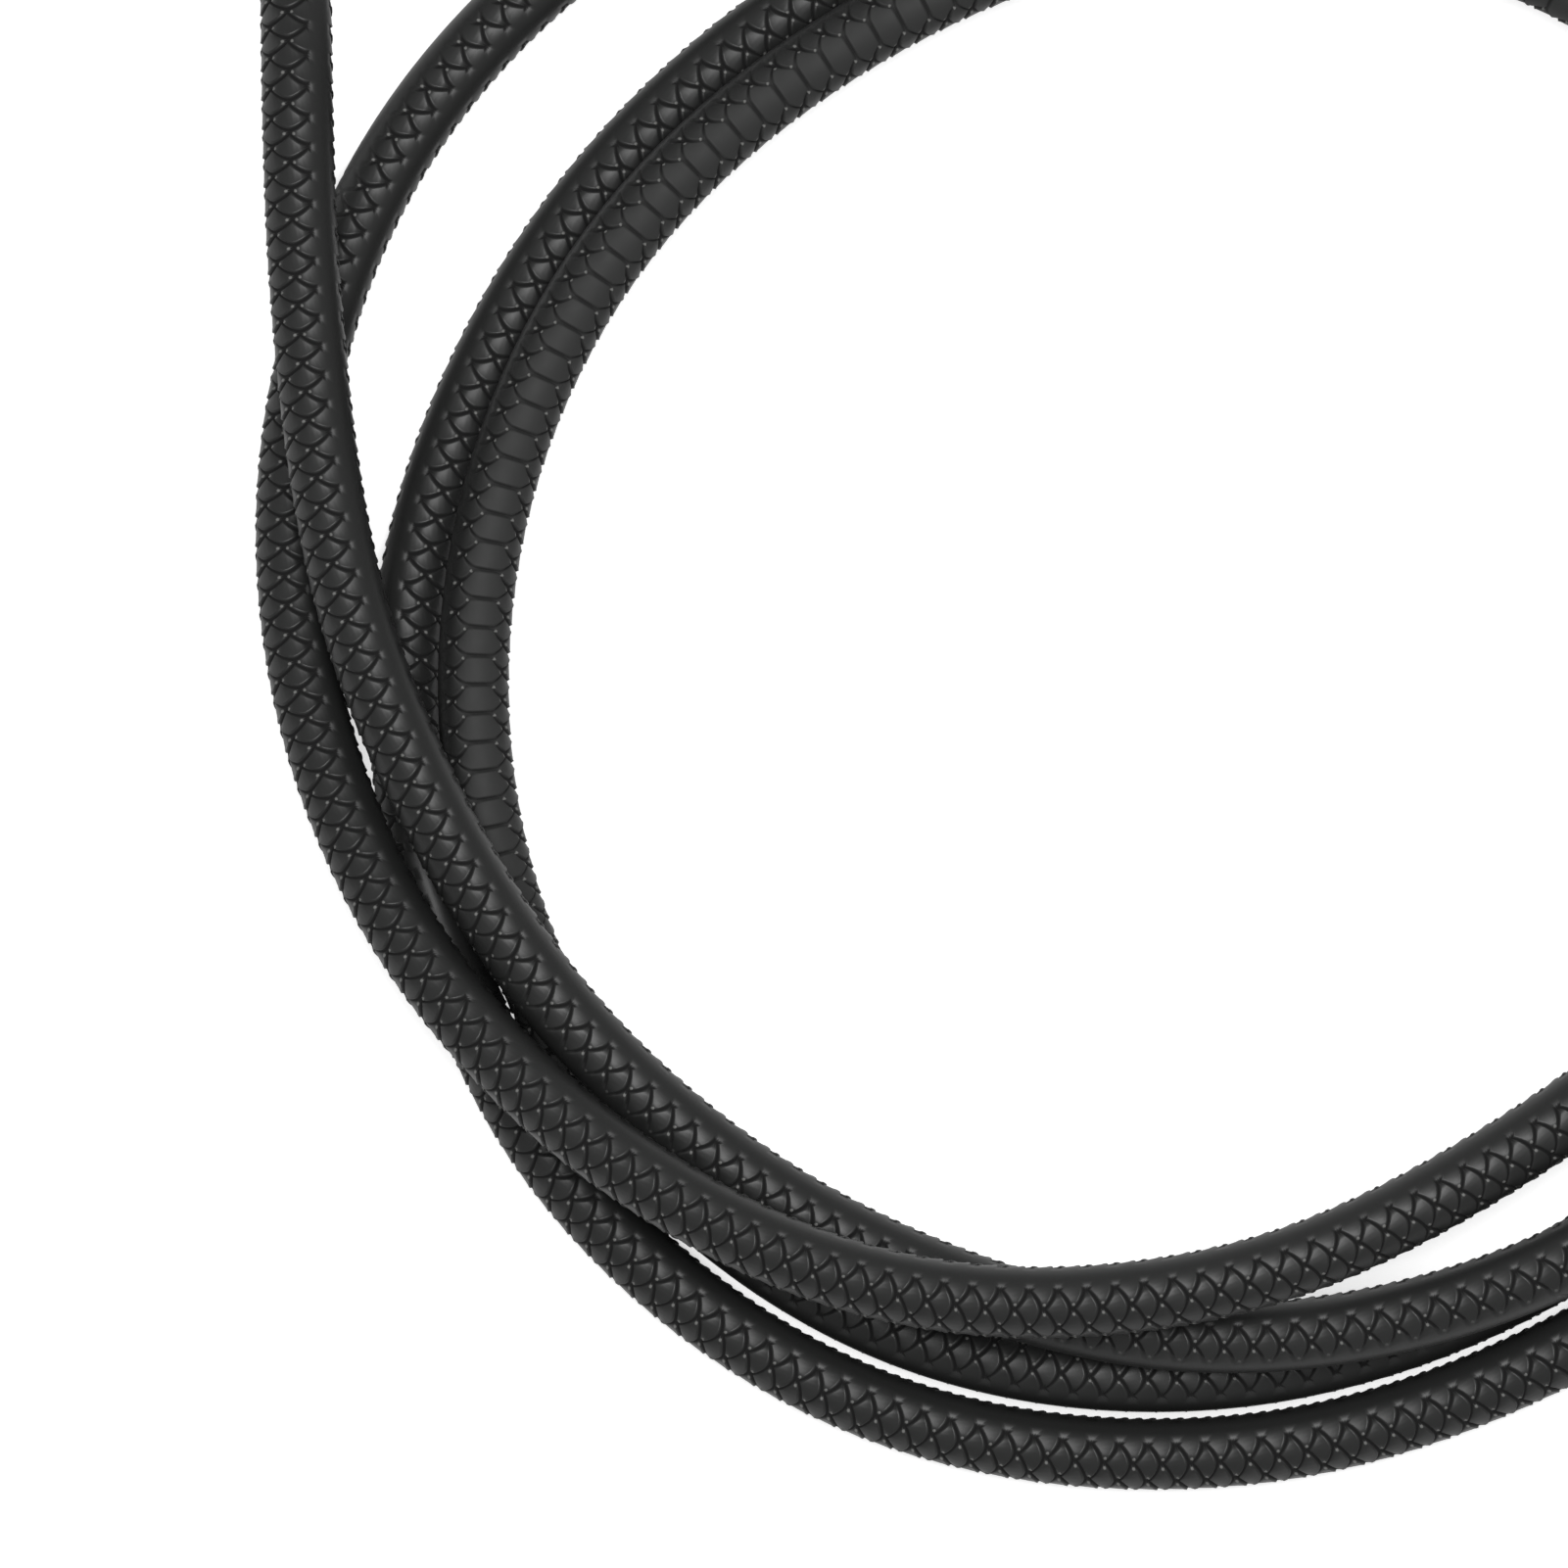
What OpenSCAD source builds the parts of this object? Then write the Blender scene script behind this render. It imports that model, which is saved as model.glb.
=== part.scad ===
// Charging cable: a loose hand-wound coil of round cord with a type A plug on one end
// and a type C plug on the other. Millimetres, +Z up, resting on z = 0.
// Each plug is drawn along +Y, with y = 0 where the cord enters its strain relief.

/* [Cord] */
// Outside diameter of the jacket
jacket_d = 4.1; // [3.8:0.1:4.3]
// Diameter of one insulated wire
wire_d = 0.9; // [0.8:0.05:1]
// Gap between neighbouring wires
wire_gap = 0.1; // [0.05:0.05:0.15]
// Room between the wires and the wall of the jacket's bore
wire_slack = 0.06; // [0.04:0.01:0.1]
// Clearance between the jacket and whatever grips it
jacket_fit = 0.05; // [0.03:0.01:0.1]

/* [Type A shell] */
// Width of the shell
a_shell_w = 12; // [11.9:0.05:12.1]
// Height of the shell
a_shell_h = 4.5; // [4.4:0.05:4.6]
// Thickness of the shell's sheet
a_sheet = 0.3; // [0.25:0.05:0.35]
// Outside radius of the shell's corners
a_shell_r = 0.65; // [0.5:0.05:0.8]
// Length of shell that stands out of the housing
a_shell_out = 11.75; // [11:0.25:12.5]
// Length of shell held inside the housing
a_shell_in = 9; // [8:0.5:10]
// Width of a latching window
a_window_w = 2.5; // [2:0.1:3]
// Length of a latching window along the plug
a_window_l = 2; // [1.6:0.1:2.4]
// Distance between the middles of the two windows of a face
a_window_spread = 5.7; // [5:0.1:6.4]
// Distance from the shell's mouth to the middle of a window
a_window_back = 5.16; // [4.6:0.02:5.6]

/* [Type A insulator and contacts] */
// Thickness of the tongue
a_tongue_t = 1.9; // [1.7:0.05:2]
// Distance from the shell's mouth to the front of the tongue
a_tongue_recess = 0.35; // [0.2:0.05:0.8]
// Length of the block behind the tongue
a_block_l = 4; // [3:0.5:5]
// Clearance between the insulator and the shell
a_block_fit = 0.05; // [0.03:0.01:0.08]
// Width of a contact
a_contact_w = 1; // [0.8:0.05:1.2]
// Thickness of a contact
a_contact_t = 0.25; // [0.2:0.01:0.3]
// Height of a contact above the tongue
a_contact_raise = 0.05; // [0.03:0.01:0.08]
// Clearance on each side of a contact in its groove
a_contact_fit = 0.02; // [0.01:0.01:0.04]
// Distance from the plug's middle to an inner contact
a_inner_x = 1; // [0.9:0.05:1.2]
// Distance from the plug's middle to an outer contact
a_outer_x = 3.5; // [3.3:0.05:3.7]
// Distance from the tongue's front to the outer contacts
a_outer_back = 0.8; // [0.5:0.1:1.2]
// Distance from the tongue's front to the inner contacts
a_inner_back = 1.8; // [1.4:0.1:2.4]
// Length of the solder tail behind the block
a_tail_l = 2.5; // [2:0.1:3]

/* [Type A rear parts] */
// Length of the rear shield can
a_can_l = 8; // [7.5:0.5:9]
// Wall of the inner cover
a_cover_wall = 0.5; // [0.4:0.05:0.6]
// Radius of the inner cover's inside corners
a_cover_r = 0.3; // [0.1:0.05:0.5]
// Length of each wire's end over its contact
a_pad_l = 1.9; // [1.6:0.1:2.1]
// Length of the crimp ring
a_crimp_l = 3; // [2.5:0.5:4]
// Wall of the crimp ring
a_crimp_wall = 0.5; // [0.4:0.05:0.6]

/* [Type A housing] */
// Width of the housing
a_housing_w = 15.6; // [15:0.1:16]
// Height of the housing
a_housing_h = 8; // [7.6:0.1:8.4]
// Radius of the housing's long edges
a_edge_r = 2.4; // [1.8:0.1:2.8]
// Radius of the housing's corners seen from above
a_corner_r = 3; // [2:0.25:3.5]
// Clearance between the housing and the metal in it
a_pocket_fit = 0.05; // [0.03:0.01:0.1]

/* [Type C shell] */
// Width of the shell
c_shell_w = 8.25; // [8.2:0.01:8.3]
// Height of the shell
c_shell_h = 2.4; // [2.35:0.01:2.45]
// Thickness of the shell's wall
c_sheet = 0.2; // [0.18:0.01:0.24]
// Length of shell that stands out of the housing
c_shell_out = 6.65; // [6.4:0.05:6.9]
// Length of shell held inside the housing
c_shell_in = 4; // [3.5:0.25:5]

/* [Type C insulator and contacts] */
// Clearance between the insulator and the shell
c_block_fit = 0.05; // [0.03:0.01:0.07]
// Distance from the shell's mouth to the insulator
c_recess = 0.3; // [0.2:0.05:0.5]
// Thickness of the insulator at each end of the mouth slot
c_side_wall = 0.425; // [0.4:0.005:0.45]
// Height of the mouth slot
c_slot_h = 0.9; // [0.84:0.02:0.96]
// Wall between the mouth slot and the latch's middle plate
c_slot_wall = 0.2; // [0.1:0.05:0.3]
// Spacing of the contacts
c_pitch = 0.5; // [0.48:0.01:0.5]
// Width of a contact
c_contact_w = 0.24; // [0.2:0.01:0.26]
// Thickness of a contact
c_contact_t = 0.15; // [0.12:0.01:0.18]
// Height that a contact stands into the slot
c_contact_raise = 0.05; // [0.03:0.01:0.07]
// Clearance on each side of a contact in its groove
c_contact_fit = 0.02; // [0.01:0.01:0.03]
// Distance from the insulator's front to the contacts
c_contact_back = 1; // [0.6:0.1:1.6]
// Length of the solder tail behind the insulator
c_tail_l = 2; // [1.5:0.1:2.5]
// Thickness of the latch's sheet
c_latch_t = 0.2; // [0.16:0.01:0.22]
// Height of a latch arm
c_latch_h = 0.5; // [0.4:0.02:0.6]
// Length of a latch arm
c_arm_l = 6.3; // [6:0.1:6.5]
// Distance that a latch nose stands into the slot
c_nose = 0.25; // [0.2:0.01:0.3]
// Distance from the insulator's front to the latch arms
c_arm_back = 0.7; // [0.5:0.1:0.9]
// Length of the latch's middle plate
c_plate_l = 1.2; // [1:0.1:1.3]
// Length of a latch nose
c_nose_l = 0.8; // [0.5:0.1:1]
// Width of a ground spring
c_spring_w = 4; // [3.5:0.1:4.5]
// Length of a ground spring
c_spring_l = 2; // [1.6:0.1:2.4]
// Distance from the insulator's front to the ground springs
c_spring_back = 1.2; // [0.8:0.1:1.6]
// Thickness of a ground spring
c_spring_t = 0.12; // [0.1:0.01:0.14]

/* [Type C board and can] */
// Width of the circuit board
c_board_w = 8; // [7.4:0.1:8.4]
// Length of the circuit board
c_board_l = 6.4; // [6:0.1:6.6]
// Length of the shield can
c_can_l = 9; // [8.8:0.1:10]
// Width of the shield can
c_can_w = 9.6; // [9.4:0.05:9.8]
// Height of the shield can
c_can_h = 4.4; // [4.2:0.05:4.6]
// Outside radius of the can's corners
c_can_r = 0.8; // [0.5:0.05:1.1]
// Length of the crimp ring
c_crimp_l = 2.5; // [2:0.5:3]
// Wall of the crimp ring
c_crimp_wall = 0.3; // [0.25:0.05:0.4]
// Length of each wire's end on the board
c_pad_l = 2.2; // [1.6:0.1:2.4]
// Distance from the wires' ends to the pull-up resistor
resistor_gap = 0.6; // [0.4:0.1:0.8]
// Distance from the middle of the board to an inner wire
c_inner_x = 0.8; // [0.7:0.05:0.9]
// Distance from the middle of the board to an outer wire
c_outer_x = 2.4; // [2.2:0.05:2.8]
// Length of the pull-up resistor
resistor_l = 1; // [0.8:0.1:1.2]
// Width of the pull-up resistor
resistor_w = 0.5; // [0.4:0.05:0.6]
// Height of the pull-up resistor
resistor_h = 0.35; // [0.3:0.05:0.45]

/* [Type C housing] */
// Width of the housing
c_housing_w = 11.6; // [11.4:0.1:12.3]
// Height of the housing
c_housing_h = 6; // [5.8:0.1:6.5]
// Radius of the housing's long edges
c_edge_r = 2; // [1.6:0.1:2.4]
// Radius of the housing's corners seen from above
c_corner_r = 2.5; // [1.5:0.25:3]
// Clearance between the housing and the metal in it
c_pocket_fit = 0.05; // [0.03:0.01:0.08]

/* [Strain reliefs] */
// Length of the type A strain relief outside the housing
a_relief_l = 12; // [11:0.5:14]
// Diameter of the type A strain relief at the housing
a_relief_d = 6.6; // [6.2:0.1:7]
// Length of the type C strain relief outside the housing
c_relief_l = 11; // [10:0.5:13]
// Diameter of the type C strain relief at the housing
c_relief_d = 5.6; // [5.5:0.05:5.8]
// Wall of a strain relief at its thin end
relief_wall = 0.5; // [0.45:0.05:0.6]
// Length of the root that goes into the housing
relief_root_l = 2; // [1.5:0.25:2.5]
// Wall of the root that goes into the housing
relief_root_wall = 0.4; // [0.35:0.05:0.5]
// Clearance round the root
relief_fit = 0.05; // [0.03:0.01:0.08]
// Number of grooves in a strain relief
relief_grooves = 4; // [3:1:6]
// Width of a groove
relief_groove_w = 0.8; // [0.6:0.1:1]
// Depth of a groove
relief_groove_t = 0.35; // [0.25:0.05:0.4]

/* [Hidden] */
$fn = 48;
overlap = 1; // how far a cut runs past the face that it opens

// Cord route, seen from above with the coil's middle at x = y = 0.
// Distance from the coil's middle and height of the cord's middle, every 30 degrees,
// anticlockwise. The first and last values only steer the ends.
coil_start = 150;
guide_step = 30;
coil_radius = [
    88.5,
    62.3, 49, 42.1, 38.5, 37.9, 38.5, 41.2, 45, 48.5, 51, 53, 56.2,
    57.4, 53.6, 46.6, 40, 34.6, 31.7, 33.4, 37.4, 41.8, 45.3, 44.8, 43.5,
    43.8, 43.8, 43.4, 42.1, 40.1, 39, 40.1, 42.6, 46, 48.6, 48.8, 46.9,
    46.8, 47.9, 48.1, 47, 44.8, 43.7, 46, 52
];
coil_height = [
    6.4,
    7.2, 8.05, 7.25, 5.4, 6.3, 6.8, 6.8, 6.7, 6.7, 6.4, 5.2, 3.2,
    2.1, 4.65, 8.5, 10.45, 10.5, 7.5, 4.3, 2.9, 4.4, 5.4, 5.3, 5.3,
    5.65, 4.6, 2.35, 2, 2, 2, 2, 2, 2, 2, 2, 2,
    2, 2, 2, 2, 2, 2, 2, 2
];
rings_per_loop = 24;
coil_sides = 6;
tail_sides = 8;

// Where the cord enters each strain relief, and the height of each plug's middle
a_mouth = [-54.2, 52, a_housing_h / 2];
c_mouth = [54, 17, c_housing_h / 2];
floor_z = jacket_d / 2;

// Places along each plug, measured from y = 0 at the mouth of the strain relief
a_back_y = a_relief_l;
a_crimp_y = a_back_y + relief_root_l;
a_can_y = a_crimp_y + a_crimp_l;
a_shell_y = a_can_y + a_can_l;
a_front_y = a_shell_y + a_shell_in;
a_tip_y = a_front_y + a_shell_out;
a_housing_l = a_front_y - a_back_y;
c_back_y = c_relief_l;
c_crimp_y = c_back_y + relief_root_l;
c_can_y = c_crimp_y + c_crimp_l;
c_shell_y = c_can_y + c_can_l;
c_front_y = c_shell_y + c_shell_in;
c_tip_y = c_front_y + c_shell_out;
c_housing_l = c_front_y - c_back_y;

// Straight ends of the cord, then the bends that lead to and from the coil
a_tail_points = [
    a_mouth + [0, a_can_y, 0],
    a_mouth + [0, a_crimp_y, 0],
    a_mouth,
    a_mouth - [0, jacket_d, 0],
    [-54.2, 43.5, 4.9],
    [-54.1, 39, 6.2]
];
c_tail_points = [
    [47, -13.6, floor_z],
    [50.6, -6.2, floor_z],
    [52.9, 1.5, floor_z],
    [53.8, 8, 2.6],
    c_mouth - [0, jacket_d, 0],
    c_mouth,
    c_mouth + [0, c_crimp_y, 0],
    c_mouth + [0, c_can_y, 0]
];

// Wires lie in a square inside the jacket
wire_offset = (wire_d + wire_gap) / sqrt(2);
wire_reach = wire_offset + wire_d / 2;
bore_d = 2 * (wire_reach + wire_slack) / cos(180 / coil_sides);
wire_hole_d = 2 * (wire_reach + wire_slack);
wire_sides = 5;
square_x = wire_offset * cos(45);
fan_wait = 0.5; // share of the fan's length that the lower wires wait

// Type A inside
a_crimp_d = jacket_d + 2 * (jacket_fit + a_crimp_wall);
a_inner_w = a_shell_w - 2 * a_sheet;
a_inner_h = a_shell_h - 2 * a_sheet;
a_block_w = a_inner_w - 2 * a_block_fit;
a_block_h = a_inner_h - 2 * a_block_fit;
a_tongue_top = a_tongue_t - a_block_h / 2;
a_contact_top = a_tongue_top + a_contact_raise;
a_wire_z = a_contact_top + wire_slack + wire_d / 2;
a_pad_y = a_shell_y - a_tail_l;
a_wire_end_y = a_pad_y + a_pad_l;
a_straight_y = a_can_y + a_sheet + a_cover_wall;
a_fan_l = (a_pad_y - a_straight_y) / (1 + fan_wait);
a_tongue_front = a_tip_y - a_tongue_recess;

// Type C inside
c_crimp_d = jacket_d + 2 * (jacket_fit + c_crimp_wall);
c_inner_w = c_shell_w - 2 * c_sheet;
c_inner_h = c_shell_h - 2 * c_sheet;
c_block_w = c_inner_w - 2 * c_block_fit;
c_block_h = c_inner_h - 2 * c_block_fit;
c_block_front = c_tip_y - c_recess;
c_slot_w = c_block_w - 2 * c_side_wall;
c_slot_l = c_arm_back + c_arm_l - c_plate_l - c_slot_wall;
c_slot_y = c_block_front - c_slot_l;
c_contact_z = c_slot_h / 2 - c_contact_raise;
c_board_t = 2 * c_contact_z;
c_board_front = c_shell_y - c_sheet - c_block_fit;
c_board_y = c_board_front - c_board_l;
c_wire_z = c_board_t / 2 + wire_slack + wire_d / 2;
c_wire_end_y = c_board_y + c_pad_l;
c_straight_y = c_can_y + c_sheet;
c_fan_l = (c_board_y - c_straight_y) / (1 + fan_wait);
c_arm_x = c_slot_w / 2;
c_arm_y = c_block_front - c_arm_back - c_arm_l;
c_row_pins = 12;
c_upper_pins = [1, 4, 5, 6, 7, 9, 12];
c_lower_pins = [1, 4, 5, 9, 12];

function unit(v) = v / norm(v);
function cubic(p, t) =
    (2 * t ^ 3 - 3 * t ^ 2 + 1) * p[1] + (t ^ 3 - 2 * t ^ 2 + t) * (p[2] - p[0]) / 2
    + (3 * t ^ 2 - 2 * t ^ 3) * p[2] + (t ^ 3 - t ^ 2) * (p[3] - p[1]) / 2;
function guided(list, turn) =
    let (i = min(floor(turn), len(list) - 4))
    cubic([list[i], list[i + 1], list[i + 2], list[i + 3]], turn - i);
function coil_at(angle) =
    let (turn = (angle - coil_start) / guide_step, r = guided(coil_radius, turn))
    [r * cos(angle), r * sin(angle), max(floor_z, guided(coil_height, turn))];

// The coil's rings, with one straight jacket diameter at each end
coil_end = coil_start + guide_step * (len(coil_radius) - 3);
ring_step = 360 / rings_per_loop;
coil_core = [for (angle = [coil_start : ring_step : coil_end]) coil_at(angle)];
first_dir = unit(coil_at(coil_start + 1) - coil_at(coil_start));
last_dir = unit(coil_at(coil_end) - coil_at(coil_end - 1));
lead_in = coil_core[0] - jacket_d * first_dir;
lead_out = coil_core[len(coil_core) - 1] + jacket_d * last_dir;
route = concat(a_tail_points, [lead_in], coil_core, [lead_out], c_tail_points);
coil_first = len(a_tail_points);
coil_last = coil_first + len(coil_core) + 1;
route_last = len(route) - 1;

function bisector(i) = unit(unit(route[i + 1] - route[i]) + unit(route[i] - route[i - 1]));
directions = [
    for (i = [0 : route_last])
        i == 0 ? unit(route[1] - route[0])
        : i == route_last ? unit(route[i] - route[i - 1])
        : i == coil_first || i == coil_first + 1 ? first_dir
        : i == coil_last || i == coil_last - 1 ? last_dir
        : bisector(i)
];
function side_of(dir) = unit(cross(dir, [0, 0, 1]));
function ring_at(middle, dir, r, sides) =
    let (side = side_of(dir), up = cross(side, dir))
    [
        for (k = [0 : sides - 1])
            let (a = 90 + k * 360 / sides)
            middle + r * (cos(a) * side + sin(a) * up)
    ];
function route_rings(from, to, r, sides) =
    [for (i = [from : to]) ring_at(route[i], directions[i], r, sides)];

// Least gap between the coil's own loops, measured on four points of each straight piece
gap_points = 4;
coil_points = [
    for (i = [0 : len(coil_core) - 2], k = [0 : gap_points - 1])
        coil_core[i] + (coil_core[i + 1] - coil_core[i]) * k / gap_points
];
half_loop = gap_points * rings_per_loop / 2;
coil_gap = min([
    for (i = [0 : len(coil_points) - 1 - half_loop], j = [i + half_loop : len(coil_points) - 1])
        norm(coil_points[i] - coil_points[j])
]) - jacket_d;
echo(least_gap_of_coil = coil_gap);

// Shift that puts the origin in the middle of the footprint
coil_hull = [for (ring = route_rings(coil_first, coil_last, jacket_d / 2, coil_sides), p = ring) p];
low_x = min(a_mouth.x - a_housing_w / 2, min([for (p = coil_hull) p.x]));
high_x = max(c_mouth.x + c_housing_w / 2, max([for (p = coil_hull) p.x]));
low_y = min([for (p = coil_hull) p.y]);
high_y = max(a_mouth.y + a_tip_y, c_mouth.y + c_tip_y, max([for (p = coil_hull) p.y]));
to_origin = [-(low_x + high_x) / 2, -(low_y + high_y) / 2, 0];

// Closed tube through a list of rings, all with the same number of points
module solid_tube(rings) {
    n = len(rings[0]);
    last = len(rings) - 1;
    polyhedron(
        points = [for (ring = rings, p = ring) p],
        faces = concat(
            wall_faces(0, n, last, false),
            [for (k = [1 : n - 2]) [0, k + 1, k]],
            [for (k = [1 : n - 2]) [last * n, last * n + k, last * n + k + 1]]
        )
    );
}

// Triangles between neighbouring rings whose points start at the given number
function wall_faces(start, n, last, inside) = [
    for (i = [0 : last - 1], k = [0 : n - 1])
        let (
            a = start + i * n + k,
            b = start + i * n + (k + 1) % n,
            c = b + n,
            d = a + n
        )
        each inside ? [[a, c, b], [a, d, c]] : [[a, b, c], [a, c, d]]
];

// Open tube: outer rings and the bore's rings, closed by a flat rim at each end
module hollow_tube(outer, bore) {
    n = len(outer[0]);
    last = len(outer) - 1;
    inner = n * (last + 1);
    rim = last * n;
    polyhedron(
        points = concat([for (ring = outer, p = ring) p], [for (ring = bore, p = ring) p]),
        faces = concat(
            wall_faces(0, n, last, false),
            wall_faces(inner, n, last, true),
            [for (k = [0 : n - 1]) let (m = (k + 1) % n)
                each [[k, inner + k, inner + m], [k, inner + m, m]]],
            [for (k = [0 : n - 1]) let (m = (k + 1) % n)
                each [
                    [rim + k, rim + m, inner + rim + m],
                    [rim + k, inner + rim + m, inner + rim + k]
                ]]
        )
    );
}

module jacket(from, to, sides) {
    translate(to_origin)
        hollow_tube(
            route_rings(from, to, jacket_d / 2, sides),
            route_rings(from, to, bore_d / 2, sides)
        );
}

// One wire: across and up are +1 or -1, for its corner of the square.
// It fans out to its pad inside each plug, the upper pair first.
module wire(across, up, a_pad_x, c_pad_x) {
    r = wire_d / 2;
    from_a = [0, -1, 0];
    to_c = [0, 1, 0];
    wait = up > 0 ? 0 : fan_wait;
    a_turn_y = a_straight_y + wait * a_fan_l;
    c_turn_y = c_straight_y + wait * c_fan_l;
    a_places = [
        [a_pad_x, a_wire_end_y, a_wire_z],
        [a_pad_x, a_turn_y + a_fan_l, a_wire_z],
        [-across * square_x, a_turn_y, up * square_x]
    ];
    c_places = [
        [across * square_x, c_turn_y, up * square_x],
        [c_pad_x, c_turn_y + c_fan_l, c_wire_z],
        [c_pad_x, c_wire_end_y, c_wire_z]
    ];
    cord_rings = [
        for (i = [0 : route_last])
            let (side = side_of(directions[i]), lift = cross(side, directions[i]))
            ring_at(
                route[i] + square_x * (across * side + up * lift),
                directions[i], r, wire_sides
            )
    ];
    translate(to_origin)
        solid_tube(concat(
            [for (p = a_places) ring_at(a_mouth + p, from_a, r, wire_sides)],
            cord_rings,
            [for (p = c_places) ring_at(c_mouth + p, to_c, r, wire_sides)]
        ));
}

// Rounded rectangle in X and Y, centred
module rounded(w, h, r) {
    flat_w = w - 2 * r;
    flat_h = h - 2 * r;
    square([w, flat_h], center = true);
    square([flat_w, h], center = true);
    for (x = [-1, 1], y = [-1, 1])
        translate([x * flat_w / 2, y * flat_h / 2])
            circle(r);
}

// Outline in X and Z, drawn along +Y from y
module along(y, length) {
    translate([0, y + length, 0])
        rotate([90, 0, 0])
            linear_extrude(length)
                children();
}

// Round bar along +Y from y
module bar(y, length, d) {
    along(y, length)
        circle(d = d);
}

module block(x, y, z, size) {
    translate([x - size.x / 2, y, z])
        cube(size);
}

module at_a() {
    translate(to_origin + a_mouth)
        children();
}

module at_c() {
    translate(to_origin + c_mouth)
        children();
}

// Tapered relief with grooves, and a root that goes into the housing
module relief(length, d) {
    bore = jacket_d / 2 + jacket_fit;
    thin_r = bore + relief_wall;
    root_r = bore + relief_root_wall;
    pitch = length / (relief_grooves + 1);
    rotate([-90, 0, 0])
        difference() {
            union() {
                cylinder(h = length, r1 = thin_r, r2 = d / 2);
                cylinder(h = length + relief_root_l, r = root_r);
            }
            translate([0, 0, -overlap])
                cylinder(h = length + relief_root_l + 2 * overlap, r = bore);
            for (i = [1 : relief_grooves])
                translate([0, 0, i * pitch - relief_groove_w / 2])
                    rotate_extrude()
                        translate([thin_r + (d / 2 - thin_r) * i * pitch / length - relief_groove_t, 0])
                            square([relief_groove_t + overlap, relief_groove_w]);
        }
}

// Housing: a rounded section cut to a rounded outline seen from above
module housing_form(w, h, y, length, edge_r, corner_r) {
    intersection() {
        along(y, length)
            rounded(w, h, edge_r);
        translate([0, y + length / 2, -h / 2])
            linear_extrude(h)
                rounded(w, length, corner_r);
    }
}

module relief_socket(y) {
    root_d = jacket_d + 2 * (jacket_fit + relief_root_wall);
    bar(y - overlap, relief_root_l + overlap, root_d + 2 * relief_fit);
}

module jacket_coil() {
    color([0.13, 0.13, 0.135])
        jacket(coil_first, coil_last, coil_sides);
}

module jacket_tail_a() {
    color([0.13, 0.13, 0.135])
        jacket(0, coil_first, tail_sides);
}

module jacket_tail_c() {
    color([0.13, 0.13, 0.135])
        jacket(coil_last, route_last, tail_sides);
}

module power_wire() {
    color([0.72, 0.08, 0.07])
        wire(1, 1, -a_outer_x, c_outer_x);
}

module ground_wire() {
    color([0.05, 0.05, 0.05])
        wire(-1, 1, a_outer_x, -c_outer_x);
}

module data_plus_wire() {
    color([0.1, 0.5, 0.2])
        wire(-1, -1, a_inner_x, -c_inner_x);
}

module data_minus_wire() {
    color([0.9, 0.9, 0.88])
        wire(1, -1, -a_inner_x, c_inner_x);
}

module a_strain_relief() {
    color([0.1, 0.1, 0.105])
        at_a()
            relief(a_relief_l, a_relief_d);
}

module a_housing() {
    color([0.12, 0.12, 0.125])
        at_a()
            difference() {
                housing_form(a_housing_w, a_housing_h, a_back_y, a_housing_l, a_edge_r, a_corner_r);
                relief_socket(a_back_y);
                bar(a_crimp_y - overlap, a_crimp_l + a_sheet + overlap, a_crimp_d + 2 * a_pocket_fit);
                along(a_can_y, a_can_l + a_shell_in + overlap)
                    rounded(a_shell_w + 2 * a_pocket_fit, a_shell_h + 2 * a_pocket_fit, a_shell_r);
            }
}

// Can behind the shell, with a ring that is crimped round the jacket
module a_rear_shield() {
    color([0.72, 0.73, 0.75])
        at_a()
            difference() {
                union() {
                    bar(a_crimp_y, a_crimp_l + a_sheet / 2, a_crimp_d);
                    along(a_can_y, a_can_l)
                        rounded(a_shell_w, a_shell_h, a_shell_r);
                }
                bar(a_crimp_y - overlap, a_crimp_l + overlap, jacket_d + 2 * jacket_fit);
                bar(a_crimp_y, a_crimp_l + overlap, wire_hole_d);
                along(a_can_y + a_sheet, a_can_l)
                    rounded(a_inner_w, a_inner_h, a_shell_r - a_sheet);
            }
}

// Insulating cover over the soldered wires, inside the can
module a_inner_cover() {
    cover_y = a_can_y + a_sheet;
    cover_l = a_can_l - a_sheet;
    color([0.85, 0.85, 0.82])
        at_a()
            difference() {
                along(cover_y, cover_l)
                    rounded(a_block_w, a_block_h, a_shell_r - a_sheet);
                along(cover_y + a_cover_wall, cover_l)
                    rounded(a_block_w - 2 * a_cover_wall, a_block_h - 2 * a_cover_wall, a_cover_r);
                bar(cover_y - overlap, a_cover_wall + 2 * overlap, wire_hole_d);
            }
}

module a_shell() {
    color([0.78, 0.79, 0.8])
        at_a()
            difference() {
                along(a_shell_y, a_shell_in + a_shell_out)
                    rounded(a_shell_w, a_shell_h, a_shell_r);
                along(a_shell_y - overlap, a_shell_in + a_shell_out + 2 * overlap)
                    rounded(a_inner_w, a_inner_h, a_shell_r - a_sheet);
                for (x = [-1, 1])
                    block(
                        x * a_window_spread / 2, a_tip_y - a_window_back - a_window_l / 2,
                        -a_shell_h / 2 - overlap,
                        [a_window_w, a_window_l, a_shell_h + 2 * overlap]
                    );
            }
}

// Places of the four contacts: distance from the middle, and from the tongue's front
a_contact_places = [
    [-a_outer_x, a_outer_back], [-a_inner_x, a_inner_back],
    [a_inner_x, a_inner_back], [a_outer_x, a_outer_back]
];

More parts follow.
